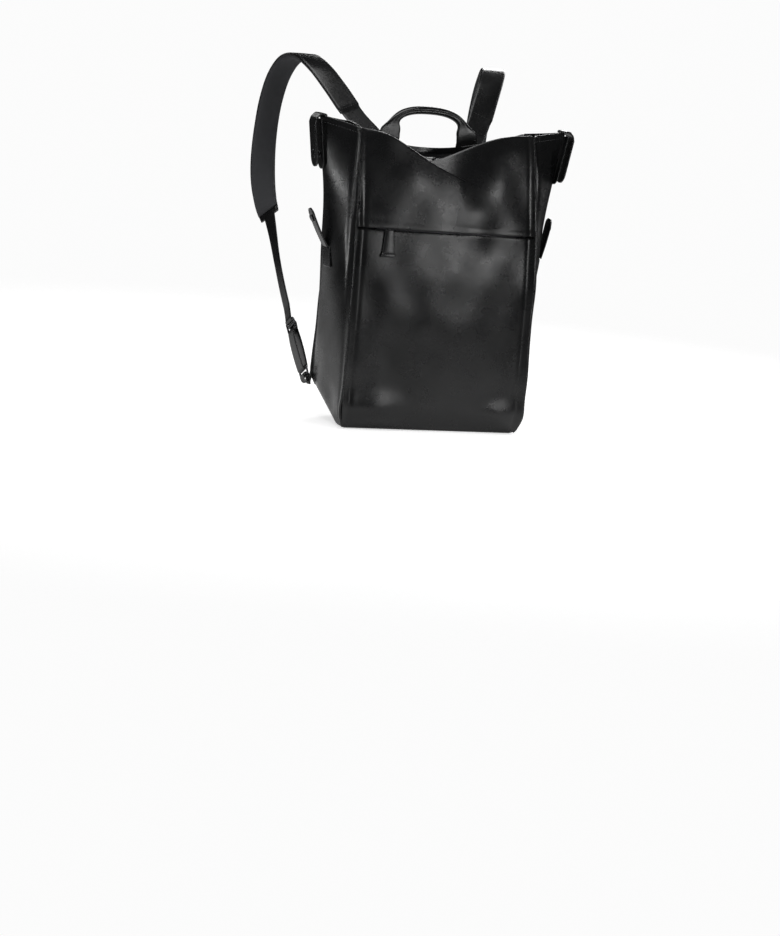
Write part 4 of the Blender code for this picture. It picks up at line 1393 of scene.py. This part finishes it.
def make_strap():
    """A shoulder strap: leather down its whole upper part, padded below the hem, and sewn."""
    stations = strap_stations(0.0, PAD_END)

    def leather(w):
        route_share = w * PAD_END
        step = smooth(route_share, HEM - 0.0020, HEM + 0.0010)
        crown = 0.0010 * smooth(route_share, HEM + 0.01, HEM + 0.08)
        crown *= smooth(-route_share, -PAD_END, -PAD_END + 0.06)
        half = STRAP_HALF - 0.0014 * (1 - step)
        return band(half, -0.0019 - 0.0013 * step, 0.0, crown=crown, steps=14)

    body = "shoulder_strap_%s"
    piece = sweep("strap_leather", stations, leather, TRIM_LEATHER)
    both_sides(piece, body, ["strap_leather_%s"])

    pad_stations = strap_stations(HEM, FOAM_END)

    def pad(w):
        ends = min(1.0, min(w, 1 - w) / 0.035)
        swell = sqrt(max(0.0, 1 - (1 - ends) ** 2))
        pull = 0.0007 * sin(pi * min(1.0, min(w, 1 - w) / 0.5)) ** 2
        return pad_outline(STRAP_HALF - 0.0006 - pull, 0.0004, 0.0012 + 0.0040 * swell)

    piece = sweep("strap_pad", pad_stations, pad, LINING)
    for made in both_sides(piece, body, ["strap_foam_%s", "strap_lining_%s"]):
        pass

    for side, offset in (("inner", -STRAP_HALF + 0.0030), ("outer", STRAP_HALF - 0.0030)):
        sewn = strap_stations(HEM + SEWN_IN, PAD_END - SEWN_IN)
        row = stitches(f"strap_{side}_stitches", *strap_face(sewn, offset, PAD_FACE), THREAD)
        both_sides(row, body)
        sewn = strap_face(strap_stations(0.012, HEM - SEWN_IN), offset * 0.93, ROOT_FACE)
        row = stitches(f"root_strap_{side}_stitches", *sewn, THREAD)
        both_sides(row, body)
    for name, sewn_at in (("hem", HEM + SEWN_IN), ("pad_end", PAD_END - SEWN_IN)):
        place, across, away = strap_stations(sewn_at, sewn_at)[0]
        points = [place + across * a + away * PAD_FACE for a in np.linspace(-0.0155, 0.0155, 20)]
        row = stitches(f"strap_{name}_stitches", points, [-away] * 20, THREAD)
        both_sides(row, body)
    make_lower_strap(body)
    make_strap_root()


def pad_outline(half_width, low, high):
    """A pad's section: flat against its leather, crowned towards the wearer, with a sewn rim."""
    outline = [(half_width, low), (half_width, low + 0.0008)]
    for i in range(21):
        a = pi * i / 20
        outline.append((half_width * 0.97 * cos(a), low + 0.0008 + (high - low) * sin(a) ** 0.55))
    return outline + [(-half_width, low + 0.0008), (-half_width, low)]


def in_ring_frame(points):
    """World points from distances up the lower strap and out of it."""
    return [RING_PLACE + LOWER_ALONG * u + LOWER_OUT * w for u, w in points]


def make_lower_strap(body):
    """The adjusting strap: down from the pad, through the buckle, round the ring, and back up."""
    lead = strap_stations(LOWER_START, 1.0)
    upper = [place + out * -0.0010 for place, _, out in lead]
    bend = len(lead) - 4  # the route is left here for the way through the buckle
    turn = 0.0038
    hairpin = [(0.0065 - turn * sin(a), turn * -cos(a)) for a in np.linspace(0, pi, 9)]
    weave = [(0.0885, 0.0012), (0.0853, 0.0025), (0.0832, 0.0012), (0.0818, -0.0012), (0.0795, -0.0038)]
    weave += [(0.0760, -0.0047), (0.0710, -0.0044), (0.0660, -0.0042)]
    weave += [(0.0480, -0.0052), (0.0250, -0.0050)]
    back = [(0.0250, 0.0046), (0.0480, 0.0044), (0.0640, 0.0030), (0.0690, 0.0018), (0.0712, 0.0)]
    back += [(0.0727, -0.0018), (0.0760, -0.0025), (0.0786, -0.0016), (0.0790, 0.0008)]
    way = in_ring_frame(weave + hairpin + back)
    path = np.vstack([upper[:bend], smooth_route([upper[bend], *way], 4)])
    hints = [across for _, across, _ in lead[:bend]] + [LOWER_ACROSS] * (len(path) - bend)
    stations = path_stations(path, lambda i: hints[i])
    piece = sweep("lower_strap_leather", stations, band(LOWER_HALF, -0.0008, 0.0008, steps=6), TRIM_LEATHER)
    both_sides(piece, body, ["lower_strap_%s", "adjuster_loop_%s"])
    for side in (-1, 1):
        row = [p + a * side * (LOWER_HALF - 0.0022) - o * 0.0008 for p, a, o in stations[6:bend]]
        outs = [-o for _, _, o in stations[6:bend]]
        name = "lower_strap_stitches_" + ("a" if side < 0 else "b")
        both_sides(stitches(name, row, outs, THREAD), body)

    frame = axes(RING_PLACE, LOWER_ACROSS, LOWER_ALONG)
    corners = [frame @ Vector((x, y, 0)) for x, y in rounded(0.0267, 0.0130, 0.0045, steps=6)]
    ring = wire("strap_ring", corners, 0.0016, METAL, closed=True, across=LOWER_OUT, sides=12)
    both_sides(ring, body, ["ring_%s"])
    centre = RING_PLACE + LOWER_ALONG * 0.076
    frame = axes(centre, LOWER_ACROSS, LOWER_ALONG)
    corners = [frame @ Vector((x, y, 0)) for x, y in rounded(0.0276, 0.0185, 0.0040, steps=6)]
    rim = wire("rim", corners, 0.0017, METAL, closed=True, across=LOWER_OUT, sides=12, squash=0.85)
    line = [frame @ Vector((x, 0, 0)) for x in np.linspace(-0.0136, 0.0136, 9)]
    bar = wire("bar", line, 0.0015, METAL, across=LOWER_ALONG)
    both_sides(joined("strap_buckle", [rim, bar]), body, ["buckle_%s"])
    make_anchor_tab()


def make_anchor_tab():
    """A strap folded round the ring and sewn into the bag's lower back corner."""
    bar, turn = -0.0065, 0.0044
    arc = [(bar + turn * sin(a), turn * cos(a)) for a in np.linspace(0, pi, 9)]
    leaf = [(-0.0110, 0.0040), (-0.0150, 0.0028), (-0.0190, 0.0016), (-0.0240, 0.0011), (-0.0300, 0.0010)]
    path = leaf[::-1] + arc + [(u, -w) for u, w in leaf]
    corner = section(2, np.array([0.005]), np.array([0.036]))[0]
    points = []
    for (u, w), place in zip(path, in_ring_frame(path)):
        pull = float(smooth(-u, 0.012, 0.030))
        target = corner + LOWER_OUT * w * 0.9 + LOWER_ALONG * 0.001
        points.append(place * (1 - pull) + target * pull)
    stations = path_stations(smooth_route(points, 3), LOWER_ACROSS)
    piece = sweep("anchor_tab_leather", stations, band(0.0075, -0.0008, 0.0008, steps=6), TRIM_LEATHER)
    both_sides(piece, "bag", ["anchor_tab_%s"])


def box_stitches(name, grid, **thread):
    """Stitches once round a patch, on its third line of points from the edge."""
    top, right = grid.shape[0] - 3, grid.shape[1] - 3
    rows, columns = range(2, top + 1), range(2, right + 1)
    ring = [(2, c) for c in columns] + [(r, right) for r in rows]
    ring += [(top, c) for c in columns[::-1]] + [(r, 2) for r in rows[::-1]]
    normals = grid_normals(grid)
    points, outs = [grid[place] for place in ring], [normals[place] for place in ring]
    both_sides(stitches(name, points, outs, THREAD, **thread), "bag")


def make_strap_root():
    """The leather patch that holds a strap's upper end to the back panel."""
    low, high, half = 0.3640, 0.4150, 0.0185
    t = 0.5 - (FOOT_X + 0.003 + np.linspace(half, -half, 22)) / (2 * SEAM_TOP_X)
    z = np.linspace(low, high, 30)
    grid = np.array([on_skin(2, t, np.full_like(t, height), 0.0019)[0] for height in z])
    piece = slab("strap_root_leather", grid, 0.0016, TRIM_LEATHER)
    both_sides(piece, "bag", ["strap_root_%s"])
    box_stitches("strap_root_stitches", grid)


# Tabs at the wings and on the gussets


def lathe(name, profile, matrix, material, sides=32):
    """A turned shape from its profile of radius and height, round the matrix's Z."""
    points = []
    for r, z in profile:
        turns = [2 * pi * k / sides for k in range(sides)]
        points += [tuple(matrix @ Vector((r * cos(turn), r * sin(turn), z))) for turn in turns]
    return tube(name, points, tube_faces(sides, len(profile)), material)


CAP_HEIGHT = 0.0022


def snap_cap(name, radius, place, out):
    """A pressed snap cap that faces out: a rolled rim round a shallow dome."""
    rim = [(0.94, -0.50), (1.0, -0.25), (1.0, 0.10), (0.93, 0.32), (0.84, 0.22), (0.74, 0.20)]
    dome = [(r, 0.20 + 0.30 * (1 - r / 0.74) ** 0.7) for r in (0.6, 0.4, 0.2, 0.03)]
    profile = [(radius * r, CAP_HEIGHT * z) for r, z in rim + dome]
    return lathe(name, profile, axes(place, (0, 1, 0), np.cross(out, (0, 1, 0))), METAL)


def fold_line(z):
    return HALF_WIDTH + (WING_X - HALF_WIDTH) * (z / WING_Z) ** FLATTENING


def tab_path(start, direction, length, half_width, steps=26):
    """Stations of a strap with a round end, and how wide it is at each."""
    straight = length - half_width
    turns = np.linspace(0, pi / 2, 12)[1:] * 0.985
    reach = np.concatenate([np.linspace(0, straight, steps), straight + half_width * np.sin(turns)])
    past = np.where(reach > straight, (reach - length + half_width) / half_width, 0.0)
    widths = [sqrt(max(0.0, 1 - way**2)) for way in past]
    return [start + direction * r for r in reach], widths


def strap_tab(name, points, widths, half_width, wall):
    stations = path_stations(points, (0, 1, 0))
    scaled = [(p, a * max(w, 0.06), o) for (p, a, o), w in zip(stations, widths)]
    outline = band(half_width, -wall / 2, wall / 2, steps=10)
    return sweep(name, scaled, outline, TRIM_LEATHER), stations


def tab_stitches(name, stations, widths, half_width, inset, out):
    """A stitch line round a strap end, a set way inside its edge."""
    scale = (half_width - inset) / half_width
    keep = [i for i, w in enumerate(widths) if w > 0.25]
    points, outs = [], []
    for side, order in ((1, keep), (-1, keep[::-1])):
        for i in order:
            place, across, away = stations[i]
            points.append(place + across * side * half_width * widths[i] * scale + away * out)
            outs.append(away * np.sign(out))
    return stitches(name, points, outs, THREAD, pitch=0.0034, length=0.0024)


def make_wing_tabs():
    """A tab folded over each wing to a snap, and the strap end with the stud below it."""
    slope = (fold_line(0.445) - fold_line(0.375)) / 0.070
    down = unit(np.array([-slope, 0, -1.0]))
    counter_x = fold_line(STRAP_END_Z) + LEATHER / 2 + 2 * GAP
    snap = 0.052
    start = np.array([counter_x, 0, STRAP_END_Z])
    points, widths = tab_path(start, down, 0.074, 0.012)
    piece, stations = strap_tab("counter_strap_leather", points, widths, 0.012, LEATHER)
    both_sides(piece, "bag", ["counter_strap_%s"])
    out = unit(np.cross(down, np.array([0, 1.0, 0])))
    out = out * np.sign(out[0])
    place = start + down * snap + out * (LEATHER / 2 + CAP_HEIGHT / 2 + GAP)
    stud = snap_cap("counter_stud_metal", 0.0050, place, out)
    both_sides(stud, "bag", ["counter_stud_%s"])

    wall, half, hang = 0.0026, 0.013, 0.0076
    top = WING_Z + 2 * GAP + wall / 2
    bend_x = counter_x + hang + 0.0012
    knots = [(WING_X - 0.006, 0, top), (WING_X + 0.0015, 0, top + 0.0002)]
    knots += [(bend_x - 0.0056, 0, top - 0.0018), (bend_x - 0.0017, 0, top - 0.0062)]
    knots += [(bend_x, 0, top - 0.0130)]
    lead = smooth_route(knots, 6)
    hanging, tip_widths = tab_path(lead[-1], down, 0.065, half)
    points = list(lead[:-1]) + hanging
    widths = [1.0] * (len(lead) - 1) + tip_widths
    piece, stations = strap_tab("wing_tab_leather", points, widths, half, wall)
    body = "wing_tab_%s"
    both_sides(piece, body, ["wing_tab_%s"])
    turn_in = [(WING_X - 0.0058, y, WING_Z + 0.0007) for y in np.linspace(0.001 - half, half - 0.001, 8)]
    fold = wire("wing_tab_fold", turn_in, 0.0020, TRIM_LEATHER, across=(1, 0, 0))
    both_sides(fold, "bag")
    end = slice(len(lead), None)
    face = np.sign(stations[len(lead) + 4][2][0]) * wall / 2
    hem = tab_stitches("wing_tab_stitches", stations[end], widths[end], half, 0.0026, face)
    both_sides(hem, body)
    over = np.array([counter_x + hang, 0, STRAP_END_Z]) + down * snap
    cap = snap_cap("wing_cap_metal", 0.0062, over + out * (wall / 2 + CAP_HEIGHT / 2 + 3 * GAP), out)
    both_sides(cap, body, ["wing_cap_%s"])


SIDE_ROOT = np.array([0.1737, -0.008, 0.262])
SIDE_LEANS = {"right": radians(11), "left": radians(29)}


def make_side_tabs():
    """A stiff strap end that stands up and away from each gusset, and the patch it is sewn to."""
    wall, half, length = 0.0028, 0.010, 0.062
    for side, lean in SIDE_LEANS.items():
        up = np.array([sin(lean), 0, cos(lean)])
        out = np.array([cos(lean), 0, -sin(lean)])
        points, widths = tab_path(SIDE_ROOT, up, length, half)
        bend = [p + out * 0.0012 * sin(pi * min(1.0, i / 30)) for i, p in enumerate(points)]
        piece, stations = strap_tab("side_tab_leather", bend, widths, half, wall)
        facing = np.sign(stations[5][2] @ out)
        hem = tab_stitches("side_tab_stitches", stations, widths, half, 0.0022, facing * wall / 2)
        lift = wall / 2 + CAP_HEIGHT / 2 + GAP + 0.0012
        stud = snap_cap("side_stud_metal", 0.0055, SIDE_ROOT + up * (length - 0.015) + out * lift, out)
        body = f"side_tab_{side}"
        parts = [
            (piece, "strap_leather", [body]),
            (hem, "strap_leather", []),
            (stud, "metal", [f"side_stud_{side}"]),
        ]
        for obj, slot, nodes in parts:
            name = f"{obj.name}_{side}"
            if side == "left":
                copy = mirrored(obj, name)
                bpy.data.objects.remove(obj, do_unlink=True)
                obj = copy
            obj.name = name
            finish_piece(obj, body, nodes)
    make_side_patch()


def make_side_patch():
    """A leather patch under each side tab, sewn round its edge to the gusset."""
    t = np.linspace(0.33, 0.52, 24)
    z = np.linspace(0.515, 0.578, 22) * WING_Z
    grid = np.array([on_skin(1, t, np.full_like(t, height), 0.0017)[0] for height in z])
    piece = slab("side_patch_leather", grid, 0.0015, TRIM_LEATHER)
    both_sides(piece, "bag", ["side_patch_%s"])
    box_stitches("side_patch_stitches", grid, pitch=0.0034, length=0.0024)


make_strap()
make_wing_tabs()
make_side_tabs()


# Pieces of the frame that keep their shape get their materials

INNER_LOOKS = {
    "back_pad": FOAM,
    "base_board": BOARD,
    "laptop_sleeve": LINING,
    "inner_pocket": LINING,
    "pocket_bag": LINING,
    "pocket_zip_tape": TAPE,
}
for node, look in INNER_LOOKS.items():
    mesh = frame["nodes"][node].data
    mesh.materials.clear()
    mesh.materials.append(look)
